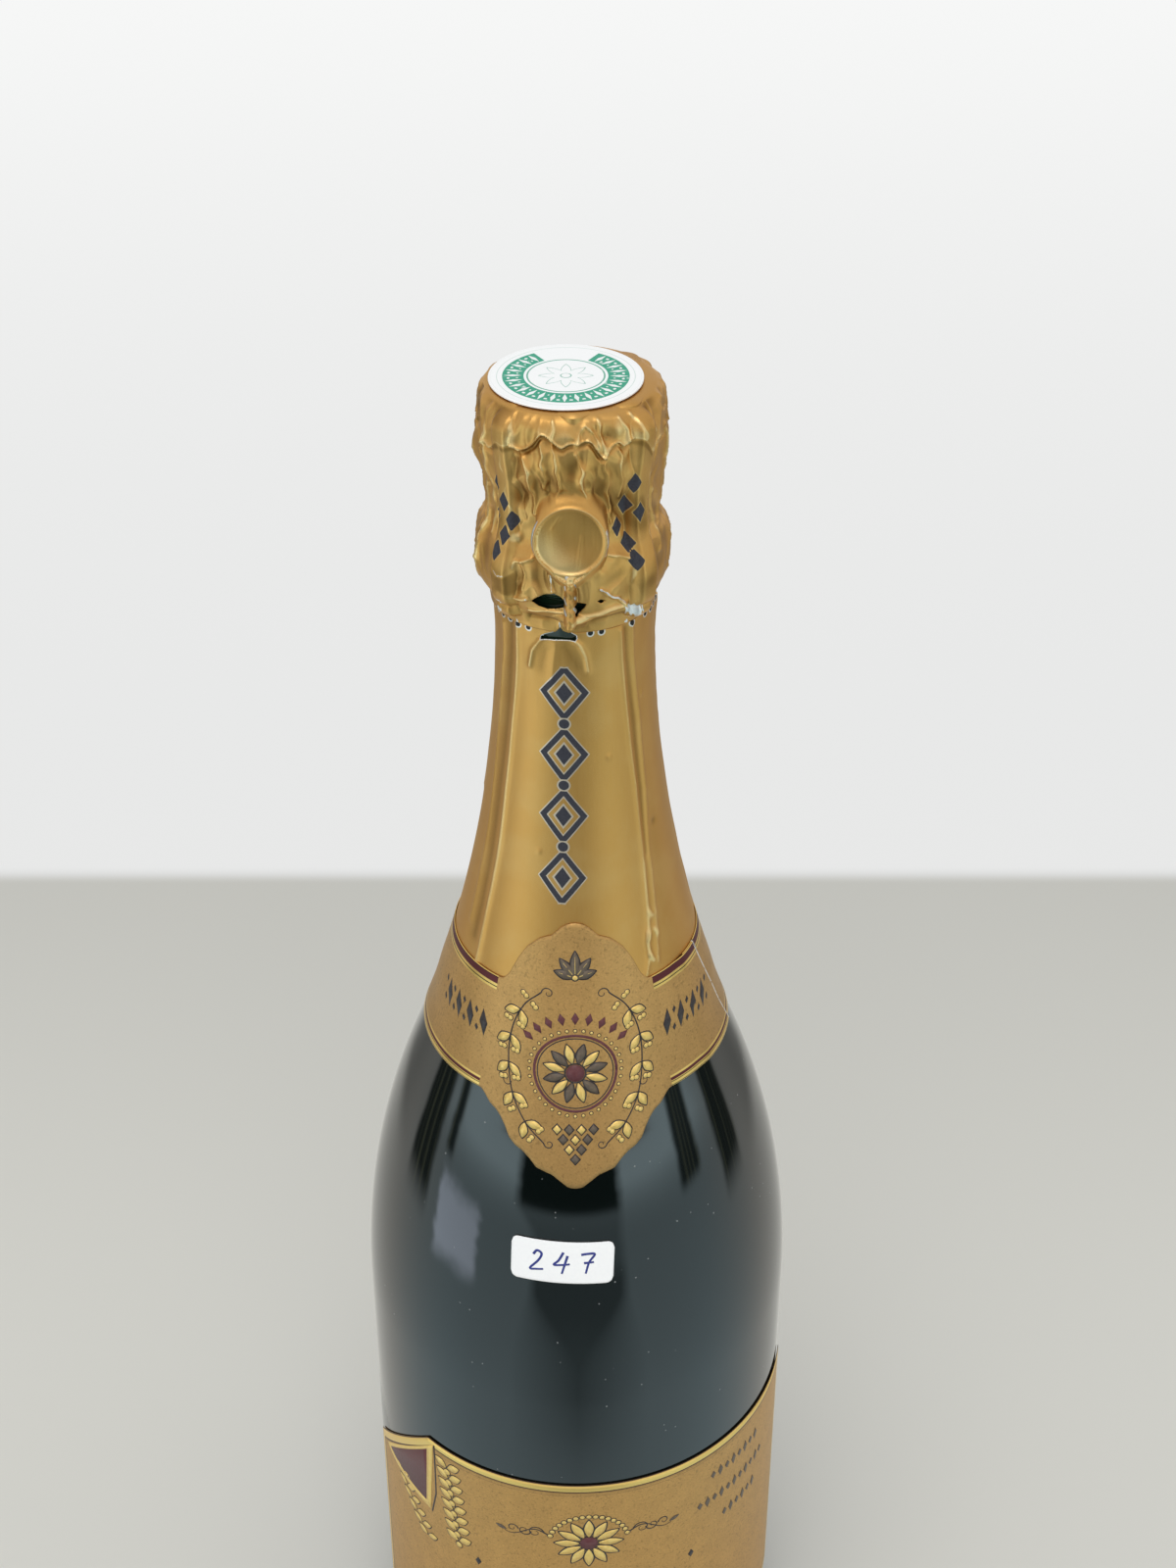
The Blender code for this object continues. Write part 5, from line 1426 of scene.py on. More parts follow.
class BOTTLE_OT_sleeve(bpy.types.Operator):
    """Wraps the foil down the neck, pleated and pricked along the tear line"""

    bl_idname = "bottle.sleeve"
    bl_label = "Foil sleeve"

    def execute(self, context):
        settings = context.scene.bottle_foil
        skin = FoilSkin(self.outline(), *SLEEVE_SKIN)
        skin.tear((SLOT_LOW,), 0.13)
        radius = self.shape(skin)
        skin.keep("dots", self.dots(skin))
        skin.keep("silver", smooth(1 - np.abs(skin.edge) / 0.3) * 0.9)
        skin.keep("relief", self.relief)
        mesh = skin.finish("sleeve", radius)
        add_piece("sleeve", mesh, self.paint(settings), "bottle", "sleeve_foil", "foil_sleeve")
        return {"FINISHED"}

    def outline(self):
        """Close rows at the tear line, then wider ones down to the collar."""
        top = TEAR_LEVEL - TEAR_GAP / 2
        close = top - 0.0030
        levels = (*np.linspace(top, close, 16)[:-1], *np.linspace(close, SLEEVE_BOTTOM, 190))
        return [(glass_radius(level) + 0.00032, level) for level in levels]

    def shape(self, skin):
        """The radius of every point in millimetres, with its folds."""
        fade = smooth((skin.height - COLLAR_TOP / MM + 3.0) / 4.0)
        scale = skin.radius * math.radians(1)
        turn = np.radians(skin.azimuth)
        spots = zip(np.sin(turn) * 2.2, np.cos(turn) * 2.2, skin.height * 0.03)
        change = 0.05 + 0.10 * np.array([noise.noise(Vector(spot)) for spot in spots])
        for size, width, path in SLEEVE_FOLDS:
            distance = path_distance(skin.azimuth, skin.height, scale, path)
            change += 1.35 * size * (np.exp(-distance / width) * 0.7 + bell(distance, width) * 0.3)
        gather = smooth((skin.height - 270) / 8)
        change += skin.dents(SLEEVE_DENTS, scale) + gather * (0.30 + 0.05 * np.sin(turn * 17))
        # The relief becomes painted shade in the fold hollows and painted highlight on the fold
        # crests.
        self.relief = (change - 0.05 - 0.30 * gather) * 2.2 * fade
        return skin.radius + np.maximum(change * fade, -0.12)

    def dots(self, skin):
        """Distance in millimetres to the nearest prick of the tear line."""
        nearest = np.full(skin.azimuth.shape, 9.0)
        for spot in DOTS:
            across = angle_between(skin.azimuth, spot) * skin.scale
            nearest = np.minimum(nearest, np.hypot(across, (skin.height - DOT_LEVEL) * 0.9))
        return nearest

    def paint(self, settings):
        """Foil with a dark chain down the front, and pricks and bare metal at the tear line."""
        paint, gold, roughness, height = foil_paint("smooth gold foil", settings, 0.38)
        azimuth, radius, level = paint.unrolled()
        side = abs((azimuth - CHAIN_AZIMUTH) * radius * math.radians(1))
        along = paint.math("PINGPONG", level - CHAIN_LEVEL, CHAIN_PITCH / 2)
        outline = abs(side / 4.35 + along / 5.7 - 0.86)
        from_pip = paint.length(side, along - CHAIN_PITCH / 2)
        chain = []
        sizes = ((0.15, 5.0, 1.5, 2.1, 0.95), (0.21, 5.2, 1.9, 2.6, 1.25))
        for line, end, width, length, pip in sizes:
            heart = side / width + along / length < 1.0
            shapes = (outline < line) * (along < end) | heart | (from_pip < pip)
            chain.append(shapes * band(level, 223.1, 270.9))
        ink, halo = chain
        dot = paint.attribute("dots")
        rim = paint.ease(dot, 0.80, 0.62) * (dot > 0.46)
        hole = dot < 0.47
        dark = ink | hole
        speckled = paint.mix(paint.noise(3000, 1), settings.print_colour, (0.045, 0.045, 0.058))
        coats = (
            (halo * 0.55, settings.bare_metal),
            (ink, speckled),
            (rim * 0.8, settings.bare_metal),
            (hole, (0.004, 0.006, 0.006)),
            (paint.ease(paint.attribute("silver"), 0.45, 0.6), settings.bare_metal),
        )
        paint.set(
            Base_Color=paint.coats(gold, *coats),
            Metallic=1 - dark * 0.8,
            Roughness=roughness + dark * 0.12,
            Normal=paint.bump(height - hole * 3, 0.20, 0.00010),
        )
        return paint


def paper_paint(name, colour):
    """Speckled paper with a metallic thread: dark and pale flecks and soft fibre."""
    paint = Paint(name, Specular_IOR_Level=0.35)
    flecks = paint.noise(2600)
    clouds = paint.noise(260, 4)
    coats = (
        (paint.ease(clouds, 0.3, 0.75) * 0.35, tinted(colour, 1.28)),
        (paint.ease(flecks, 0.56, 0.72) * 0.42, tinted(colour, 0.45)),
        (paint.ease(flecks, 0.44, 0.30) * 0.30, tinted(colour, 1.55)),
        (paint.ease(paint.noise(1350), 0.60, 0.68) * 0.34, tinted(colour, 0.30)),
    )
    return paint, paint.coats(colour, *coats), flecks * 0.6 + clouds * 0.4


class Motif:
    """A flat print in millimetres that is laid on the bottle as a thin film of ink."""

    def __init__(self):
        self.bm = bmesh.new()

    def lozenge(self, x, y, width, height, turn=0.0):
        """A diamond."""
        self.disc(x, y, 1.0, 4, (width / 2, height / 2), turn)

    def disc(self, x, y, radius, sides=12, stretch=(1.0, 1.0), turn=0.0):
        """A round spot, or an oval one."""
        matrix = Matrix.Translation((x, y, 0)) @ Matrix.Rotation(turn, 4, "Z")
        matrix = matrix @ Matrix.Diagonal((*stretch, 1, 1))
        bmesh.ops.create_circle(
            self.bm, cap_ends=True, cap_tris=True, segments=sides, radius=radius, matrix=matrix
        )

    def leaf(self, x, y, length, width, turn):
        """A pointed leaf that grows from a point along a direction."""
        made = bmesh.ops.create_circle(self.bm, cap_ends=True, cap_tris=True, segments=16, radius=1)
        spin = Matrix.Translation((x, y, 0)) @ Matrix.Rotation(turn, 4, "Z")
        for vert in made["verts"]:
            taper = 1 - 0.55 * abs(vert.co.x) ** 1.6
            along, across = (vert.co.x + 1) * length / 2, vert.co.y * width / 2 * taper
            vert.co = spin @ Vector((along, across, 0))

    def stroke(self, points, width, last=1.0):
        """A line of ink, which may taper to a share of its width at its last point."""
        places = [Vector((x, y, 0)) for x, y in points]
        run = len(places) - 1
        edge = None
        for i, place in enumerate(places):
            along = (places[min(i + 1, run)] - places[max(i - 1, 0)]).normalized()
            side = Vector((-along.y, along.x, 0)) * (width / 2 * (1 + (last - 1) * i / run))
            if edge is None:
                ends = [self.bm.verts.new(end) for end in (place - side, place + side)]
                edge = self.bm.edges.new(ends)
                continue
            grown = bmesh.ops.extrude_edge_only(self.bm, edges=[edge])["geom"]
            verts = [item for item in grown if isinstance(item, bmesh.types.BMVert)]
            verts.sort(key=lambda vert: (vert.co - edge.verts[0].co).length)
            verts[0].co, verts[1].co = place - side, place + side
            edges = (item for item in grown if isinstance(item, bmesh.types.BMEdge))
            edge = next(item for item in edges if set(item.verts) == set(verts))

    def ring(self, x, y, radius, width):
        """A round line."""
        self.stroke([around(x, y, radius, turn) for turn in np.linspace(0, math.tau, 49)], width)

    def lay(self, name, place, lift):
        """Wraps the print on the bottle and gives its mesh."""
        bmesh.ops.remove_doubles(self.bm, verts=self.bm.verts, dist=0.0005)
        for vert in self.bm.verts:
            vert.co = place(vert.co.x, vert.co.y, lift)
        bmesh.ops.recalc_face_normals(self.bm, faces=self.bm.faces)
        for face in self.bm.faces:
            middle = face.calc_center_median()
            if face.normal.dot(Vector((middle.x, middle.y, 0))) < 0:
                face.normal_flip()
        return as_mesh(self.bm, name)


def around(x, y, radius, turn):
    """A point at a distance and a direction from another."""
    return x + radius * math.cos(turn), y + radius * math.sin(turn)


def bead(edge, fill, spot, radii, sides):
    """A round spot of one ink with an edge of another."""
    for motif, radius in zip((edge, fill), radii):
        motif.disc(*spot, radius, sides)


def curl(x, y, size, turns, side):
    """Points of a small scroll that winds inwards."""
    points = []
    for share in np.linspace(0, 1, 22):
        angle = share * turns * math.tau
        radius = size * (1 - 0.82 * share)
        points.append((x + side * (size - radius * math.cos(angle)), y + radius * math.sin(angle)))
    return points


def ink_paint(name, colour, metal, worn):
    """Printed ink or hot-stamped metal, slightly uneven."""
    paint = Paint(name)
    wear = paint.noise(1400, 3)
    paint.set(
        Base_Color=paint.mix(paint.ease(wear, 0.40, 0.75) * 0.5, colour, worn),
        Metallic=metal + wear * 0.05,
        Roughness=0.34 + wear * 0.2,
        Normal=paint.bump(wear, 0.15, 0.00005),
    )
    return paint


def lay_prints(prefix, prints, place, slot, settings):
    """Lays the dark, grey, gold and red prints of a sheet, each as a film at its own lift."""
    inks = {
        "dark": (settings.dark_ink, 0.0, (0.06, 0.05, 0.05), 0.00003),
        "grey": ((0.115, 0.085, 0.060), 0.2, (0.20, 0.15, 0.09), 0.00005),
        "gold": (settings.gold_ink, 0.55, (0.95, 0.74, 0.30), 0.00006),
        "burgundy": (settings.burgundy, 0.0, (0.16, 0.05, 0.05), 0.00006),
    }
    for (ink, (colour, metal, worn, lift)), motif in zip(inks.items(), prints):
        name = f"{prefix}_{ink}_print"
        paint = ink_paint(f"{prefix} {ink} ink", colour, metal, worn)
        thicken(add_piece(name, motif.lay(name, place, lift), paint, "bottle", slot), INK_FILM)


class BOTTLE_OT_collar(bpy.types.Operator):
    """Wraps the paper collar with its scalloped medallion and lays its print"""

    bl_idname = "bottle.collar"
    bl_label = "Collar"

    def execute(self, context):
        settings = context.scene.bottle_paper
        sheet = bent_sheet("collar", (520, 56), self.bend)
        paint = self.paint(settings)
        collar = add_piece("collar", sheet, paint, "bottle", "collar_paper", "collar_label")
        thicken(collar, settings.thickness)
        lay_prints("collar", self.prints(), self.place, "collar_paper", settings)
        return {"FINISHED"}

    def lift(self, azimuth, height):
        """How far the outer side lies above the glass, over the sleeve and over its own start."""
        off_glass, over_sleeve, over_start = COLLAR_LIFTS
        start = SEAM_TOP_AZIMUTH - SEAM_LAP_ANGLE - SEAM_RAMP_ANGLE
        lapped = smooth((azimuth - start) / SEAM_RAMP_ANGLE)
        return off_glass + over_sleeve * smooth((height - 0.188) / 0.008) + over_start * lapped

    def edges(self, azimuth):
        """Top and bottom of the collar at an azimuth."""
        share = abs(azimuth) / MEDALLION_HALF_ANGLE
        if share >= 1:
            return COLLAR_TOP, COLLAR_BOTTOM
        rise = np.interp(share, *zip(*MEDALLION_TOP))
        fall = np.interp(share, *zip(*MEDALLION_BOTTOM))
        return COLLAR_TOP + MEDALLION_RISE * rise, COLLAR_BOTTOM - MEDALLION_FALL * fall

    def bend(self, across, up):
        """A point of the sheet, cut to the collar's outline and lapped on a slant."""
        start = SEAM_TOP_AZIMUTH - 360 - SEAM_LAP_ANGLE
        straight = start + (SEAM_TOP_AZIMUTH - start) * across
        slant = (SEAM_BOTTOM_AZIMUTH - SEAM_TOP_AZIMUTH) * (1 - up)
        azimuth = straight + slant * (1 - smooth((60 - abs(straight + slant)) / 20))
        top, bottom = self.edges(azimuth)
        height = bottom + (top - bottom) * up
        return on_bottle(azimuth, glass_radius(height) + self.lift(azimuth, height), height)

    def place(self, x, y, lift):
        """A print's point: x along the paper, y up it from the medallion's tip, in millimetres."""
        tip = np.interp(COLLAR_BOTTOM - MEDALLION_FALL, SIDE_LEVELS, SIDE_RUN)
        height = np.interp(tip + y * MM, SIDE_RUN, SIDE_LEVELS)
        radius = glass_radius(height)
        azimuth = math.degrees(x * MM / radius)
        return on_bottle(azimuth, radius + self.lift(azimuth, height) + lift, height)

    def paint(self, settings):
        """Speckled paper with red and gold lines along the band, a pale cut edge, painted shade low
        down and a painted seam shadow.
        """
        paint, tone, height = paper_paint("collar paper", settings.paper)
        azimuth, radius, level = paint.unrolled()
        top = COLLAR_TOP / MM - level
        foot = level - COLLAR_BOTTOM / MM
        beside = abs(azimuth) > MEDALLION_HALF_ANGLE + 1.2
        red = band(top, 0.30, 1.55) | band(foot, 1.05, 1.55)
        dark = band(top, 2.10, 2.28) | band(top, 0.18, 0.30)
        dark = dark | band(foot, 0.72, 0.86) | band(foot, 0.10, 0.2)
        gold = band(top, 0.0, 0.18) | band(top, 1.62, 2.75)
        gold = (gold | band(foot, 0.0, 0.98) | band(foot, 1.62, 2.0)) * beside
        slant = (SEAM_BOTTOM_AZIMUTH - SEAM_TOP_AZIMUTH) * MM / (COLLAR_TOP - COLLAR_BOTTOM)
        past_seam = (azimuth - SEAM_TOP_AZIMUTH - top * slant) * radius * math.radians(1)
        frayed = paint.noise(1300) > 0.42
        coats = (
            # Painted shade: the paper gets darker towards the medallion's foot.
            (paint.ease(level, 204, 176) * 0.22, tinted(settings.paper, 0.35)),
            (gold, settings.gold_ink),
            (red * beside, settings.burgundy),
            # Dark print lines, and a painted shadow in a band just past the seam's edge.
            (dark * beside | band(past_seam, 0.0, 0.45) * 0.6, settings.dark_ink),
            (band(past_seam, -0.45, 0.0) * frayed * 0.7, settings.white_card),
        )
        paint.set(
            Base_Color=paint.coats(tone, *coats),
            Metallic=gold * 0.25 + 0.55,
            Roughness=0.44 - gold * 0.12,
            Normal=paint.bump(height + gold * 0.8, 0.22, 0.00006),
        )
        return paint

    def prints(self):
        """A rosette with a red eye, sprays, beads and lozenges."""
        dark, grey, gold, red = inks = [Motif() for _ in range(4)]
        centre = 23.5
        for i in range(12):
            turn = math.tau * (i + 0.5) / 12
            dark.leaf(*around(0, centre, 1.85, turn), 4.5, 2.15, turn)
            (gold if i % 2 else grey).leaf(*around(0, centre, 2.1, turn), 3.95, 1.55, turn)
        red.disc(0, centre, 1.75, 24)
        for motif, radius, width in ((dark, 1.95, 0.3), (dark, 7.15, 0.22), (red, 7.75, 0.5)):
            motif.ring(0, centre, radius, width)
        for turn in np.radians(np.arange(38, 143, 13)):
            red.lozenge(*around(0, centre, 11.2, turn), 1.45, 2.6, turn - math.pi / 2)
        for i in range(36):
            bead(dark, gold, around(0, centre, 8.75, math.tau * i / 36), (0.42, 0.28), 8)
        self.fan(dark, grey, gold, 43.0)
        for row, count in enumerate((4, 3, 2, 1)):
            for i in range(count):
                x, y = (i - (count - 1) / 2) * 2.3, 12.0 - row * 2.0
                dark.lozenge(x, y, 2.15, 2.5)
                (grey if (row + i) % 2 else gold).lozenge(x, y, 1.55, 1.85)
        for side in (-1, 1):
            self.spray(dark, gold, side)
            for i in range(4):
                dark.lozenge(side * (18.6 + i * 3.7), 29.5, 2.0, 5.4)
                for y in (31.2, 27.8):
                    dark.lozenge(side * (20.45 + i * 3.7), y, 0.9, 1.5)
        return inks

    def fan(self, dark, grey, gold, foot):
        """Five leaves fanned out at the top."""
        for angle, length in zip((18, 54, 90, 126, 162), (3.9, 4.6, 5.3, 4.6, 3.9)):
            turn = math.radians(angle)
            dark.leaf(*around(0, foot, -0.2, turn), length + 0.5, 2.2, turn)
            grey.leaf(0, foot, length, 1.6, turn)
            gold.stroke([around(0, foot, reach, turn) for reach in (0.8, length * 0.8)], 0.16, 0.3)
        bead(dark, gold, (0, foot), (0.75, 0.48), 16)

    def spray(self, dark, gold, side):
        """A thin stem down one side, with paired leaves, pips and a scroll at each end."""
        line = through([(side * x, y) for x, y in SPRAY_STEM], 60)
        dark.stroke(line, 0.26)
        for i in range(5, 56, 5):
            spot = line[i]
            along = line[i + 1] - line[i - 1]
            for lean in (-0.75, 0.75):
                turn = math.atan2(along.y, along.x) + lean
                if i % 10 == 0:
                    dark.leaf(*spot, 3.7, 2.1, turn)
                    gold.leaf(*around(*spot, 0.3, turn), 3.1, 1.65, turn)
                else:
                    for reach in (0.95, 1.75):
                        bead(dark, gold, around(*spot, reach, turn + lean), (0.62, 0.48), 10)
        for x, y, size, turns, way, width in SPRAY_SCROLLS:
            dark.stroke(curl(side * x, y, size, turns, side * way), width, 0.4)


class BOTTLE_OT_label(bpy.types.Operator):
    """Wraps the front label with its cut corner and lays its print"""

    bl_idname = "bottle.label"
    bl_label = "Front label"

    def execute(self, context):
        settings = context.scene.bottle_paper
        sheet = bent_sheet("label", (316, 40), self.bend)
        paint = self.paint(settings)
        label = add_piece("label", sheet, paint, "bottle", "label_paper", "front_label")
        thicken(label, settings.thickness)
        lay_prints("label", self.prints(), self.place, "label_paper", settings)
        return {"FINISHED"}

    def bend(self, across, up):
        """A point of the sheet, whose top follows the cut corner."""
        left, right = LABEL_SIDES
        azimuth = left + (right - left) * across
        top = np.interp(azimuth, (left, LABEL_CUT[0]), (LABEL_CUT[1], LABEL_TOP))
        height = LABEL_BOTTOM + (top - LABEL_BOTTOM) * up
        return on_bottle(azimuth, BODY_RADIUS + LABEL_LIFT, height)

    def place(self, x, y, lift):
        """A print's point: x along the paper from the front, y above the base, in millimetres."""
        radius = BODY_RADIUS + LABEL_LIFT
        return on_bottle(math.degrees(x * MM / radius), radius + lift, y * MM)

    def paint(self, settings):
        """Speckled paper with a gold border between thin dark lines."""
        paint, tone, height = paper_paint("label paper", settings.label_paper)
        azimuth, _, level = paint.unrolled()
        per_degree = math.radians(1) * BODY_RADIUS / MM
        across = azimuth * per_degree
        left, right = (side * per_degree for side in LABEL_SIDES)
        cut = LABEL_CUT[0] * per_degree
        slope = (LABEL_TOP - LABEL_CUT[1]) / MM / (cut - left)
        below = LABEL_TOP / MM - level
        from_cut = (below + (across - cut) * slope) / math.hypot(1, slope)
        edge = below & from_cut & (level - LABEL_BOTTOM / MM) & (across - left) & (right - across)
        gold = band(edge, 0.22, 1.95)
        dark = band(edge, 0.0, 0.22) | band(edge, 1.95, 2.25) | band(edge, 3.1, 3.3) * 0.35
        coats = (
            (paint.ease(edge, 3.0, 2.2) * 0.35, settings.dark_ink),
            (gold, settings.gold_ink),
            (dark, (0.085, 0.045, 0.03)),
        )
        paint.set(
            Base_Color=paint.coats(tone, *coats),
            Metallic=gold * 0.25 + 0.50,
            Roughness=0.46 - gold * 0.12,
            Normal=paint.bump(height + gold * 1.2, 0.22, 0.00006),
        )
        return paint

    def prints(self):
        """A red corner in a gold frame, columns of leaves, and a rosette between scrolls."""
        dark, grey, gold, red = inks = [Motif() for _ in range(4)]
        outer = ((-33.2, 91.4), (-54.2, 72.4), (-34.9, 69.6))
        inner = ((-35.2, 88.6), (-51.8, 73.4), (-36.2, 71.4))
        self.triangle(gold, outer, inner)
        self.fill(red, inner)
        dark.stroke(((-32.9, 91.4), (-32.9, 82.0), (-33.0, 76.0), (-34.5, 69.2)), 0.4)
        for i in range(8):
            x, y = -29.4 + i * 0.35, 87.0 - i * 3.1
            self.leaves(dark, gold, (x, y), (3.9, 2.6), 0.5, 0.25)
            bead(dark, gold, (x, y - 1.2), (1.0, 0.8), 12)
        for i in range(6):
            self.leaves(dark, gold, (-45.4 + i * 1.8, 71.6 - i * 2.4), (3.5, 2.2), 0.4, 0.2)
        self.rosette(dark, grey, gold, red, 2.6, 74.5)
        for x in np.linspace(-30, 34, 33):
            gold.lozenge(x, 31.0, 1.1, 1.7)
        for y in (34.0, 28.0):
            dark.stroke([(x, y) for x in np.linspace(-32, 36, 69)], 0.25)
        for y, left, right in ((83.4, 31.5, 47.0), (75.8, 28.0, 51.0), (68.4, 35.5, 47.0)):
            for i, x in enumerate(np.arange(left, right, 2.1)):
                grey.lozenge(x, y, 1.5, 3.6 if i % 2 else 2.4)
        for x in np.linspace(-22, 26, 13):
            dark.lozenge(x, 50.5 + 0.02 * (x - 2) ** 2, 1.5, 2.6)
        return inks

    def leaves(self, dark, gold, foot, size, lean, inset):
        """A pair of gold leaves with dark edges, leaning out to both sides."""
        inner = [side - 0.5 for side in size]
        for turn in (lean, math.pi - lean):
            dark.leaf(*foot, *size, turn)
            gold.leaf(foot[0] + inset * math.cos(turn), foot[1] + 0.1, *inner, turn)

    def triangle(self, motif, outer, inner):
        """A three-sided frame."""
        for i in range(3):
            pair = (i, (i + 1) % 3)
            ends = [[Vector((*path[k], 0)) for k in pair] for path in (outer, inner)]
            rows = []
            for share in np.linspace(0, 1, 14):
                rows.append([motif.bm.verts.new(start.lerp(end, share)) for start, end in ends])
            for first, second in zip(rows, rows[1:]):
                motif.bm.faces.new((*first, *second[::-1]))

    def fill(self, motif, corners):
        """A filled triangle, cut into strips that can bend."""
        motif.bm.faces.new([motif.bm.verts.new((x, y, 0)) for x, y in corners])
        places = [x for x, _ in corners]
        for x in np.linspace(min(places), max(places), 14)[1:-1]:
            geom = motif.bm.verts[:] + motif.bm.edges[:] + motif.bm.faces[:]
            bmesh.ops.bisect_plane(
                motif.bm, geom=geom, dist=MERGE, plane_co=(x, 0, 0), plane_no=(1, 0, 0)
            )

    def rosette(self, dark, grey, gold, red, x, y):
        """A gold flower with a red eye under a beaded arch, between thin scrolls."""
        for i in range(12):
            turn = math.tau * i / 12
            dark.leaf(*around(x, y, 1.7, turn), 5.9, 2.7, turn)
            gold.leaf(*around(x, y, 2.0, turn), 5.2, 2.0, turn)
        red.disc(x, y, 1.9, 24)
        dark.ring(x, y, 2.15, 0.35)
        for i in range(17):
            bead(dark, gold, around(x, y, 8.4, math.radians(14 + 9.5 * i)), (0.72, 0.52), 12)
        for side in (-1, 1):
            shares = np.linspace(0, 1, 30)
            wave = zip(x + side * (8.6 + shares * 9.5), y + 2.2 + 1.3 * np.sin(shares * 5.5))
            dark.stroke(wave, 0.36, 0.4)
            for place, size, turns in ((9.4, 1.9, 1.2), (12.2, 1.5, -1.2), (15.0, 1.3, 1.1)):
                dark.stroke(curl(x + side * place, y + 2.6, size, turns, side), 0.32, 0.3)
            grey.leaf(x + side * 17.6, y + 1.6, 2.6, 1.1, 0.35 if side > 0 else math.pi - 0.35)


class BOTTLE_OT_sticker(bpy.types.Operator):
    """Sticks the small white sticker on the shoulder and writes its number"""

    bl_idname = "bottle.sticker"
    bl_label = "Sticker"

    def execute(self, context):
        settings = context.scene.bottle_paper
        paint = Paint("white sticker", Specular_IOR_Level=0.4)
        fibre = paint.noise(1800, 3)
        tone = paint.mix(fibre * 0.25, settings.white_card, (0.72, 0.74, 0.80))
        relief = paint.bump(fibre, 0.2, 0.00005)
        paint.set(Base_Color=tone, Roughness=0.45 + fibre * 0.15, Normal=relief)
        mesh = bent_sheet("sticker", (60, 26), self.bend)
        sticker = add_piece("sticker", mesh, paint, "bottle", "sticker_paper", "lot_sticker")
        thicken(sticker, settings.thickness)
        pen = Motif()
        for points in STICKER_NUMBERS:
            pen.stroke(through(points, 8 * len(points)), 0.52, 0.75)
        mesh = pen.lay("sticker_pen", self.place, 0.00003)
        ink = ink_paint("blue pen", settings.blue_ink, 0.0, (0.03, 0.05, 0.36))
        thicken(add_piece("sticker_pen", mesh, ink, "bottle", "sticker_paper"), INK_FILM)
        return {"FINISHED"}

    def place(self, x, y, lift):
        """A point of the sticker: x and y in millimetres from its middle, a little askew."""
        across, up = Matrix.Rotation(math.radians(-1.2), 2) @ Vector((x, y))
        height = STICKER_MIDDLE[1] + up * MM
        radius = glass_radius(height)
        azimuth = STICKER_MIDDLE[0] + math.degrees(across * MM / radius)
        return on_bottle(azimuth, radius + LABEL_LIFT + lift, height)

    def bend(self, across, up):
        """A point of the sheet, which has rounded corners."""
        width, height = (side / MM / 2 for side in STICKER_SIZE)
        corner = STICKER_CORNER / MM
        x = (across * 2 - 1) * width
        over = max(abs(x) - (width - corner), 0)
        reach = height - corner + math.sqrt(max(corner ** 2 - over ** 2, 0))
        return self.place(x, (up * 2 - 1) * reach, 0)


class BOTTLE_OT_top_disc(bpy.types.Operator):
    """Lays the round card on the hood, with its printed green ring"""

    bl_idname = "bottle.top_disc"
    bl_label = "Top disc"

    def execute(self, context):
        rings = (0, *np.linspace(0.002, DISC_RADIUS - DISC_BEVEL, 10))
        outline = [(radius, DISC_TOP) for radius in rings] + [(DISC_RADIUS, DISC_TOP - DISC_BEVEL)]
        outline += [(DISC_RADIUS, DISC_BOTTOM), (0, DISC_BOTTOM)]
        bm = spun(outline, 128)
        bmesh.ops.translate(bm, verts=bm.verts, vec=(DISC_SHIFT, 0, 0))
        mesh = as_mesh(bm, "card_disc", flat=True)
        paint = self.paint(context.scene.bottle_paper)
        add_piece("card_disc", mesh, paint, "hood", "top_card", "top_disc")
        return {"FINISHED"}

    def paint(self, settings):
        """White card with a green ring of bars and pips, a flower and fine lines, a little worn."""
        paint = Paint("white card", Specular_IOR_Level=0.4)
        azimuth, radius, _ = paint.unrolled(DISC_SHIFT)
        side = abs(azimuth)
        fibre = paint.noise(1500, 3)
        along = paint.math("PINGPONG", azimuth + 180, 6.4) * radius * math.radians(1)
        from_middle = abs(radius - 8.95)
        bars = along / 0.42 + from_middle / 1.55 < 1.0
        pips = paint.length(along - 1.0, from_middle - 0.75) < 0.24
        beads = (bars | pips) * (side < 144)
        ring = band(radius, 7.1, 10.7) * (side < 149) * (1 - beads * 0.92)
        petals = paint.math("PINGPONG", azimuth + 180, 22.5)
        flower = (abs(radius - 4.6 + petals * 0.11) < 0.13) | band(radius, 0.75, 1.0)
        line = band(radius, 6.35, 6.65) | flower * 0.8 | band(radius, 11.55, 11.7) * 0.35
        worn = paint.ease(paint.noise(700, 4), 0.62, 0.72)
        ghost = (band(radius, 12.6, 12.75) * 0.10, (0.5, 0.52, 0.5))
        card = paint.coats(settings.white_card, (fibre * 0.12, (0.70, 0.74, 0.72)), ghost)
        green = paint.mix(fibre * 0.5, settings.green_ink, (0.055, 0.42, 0.27))
        paint.set(
            Base_Color=paint.mix((ring | line * 0.85) * (1 - worn * 0.5), card, green),
            Roughness=0.42 + fibre * 0.15,
            Normal=paint.bump(fibre + ring * 0.3, 0.2, 0.00005),
        )
        return paint


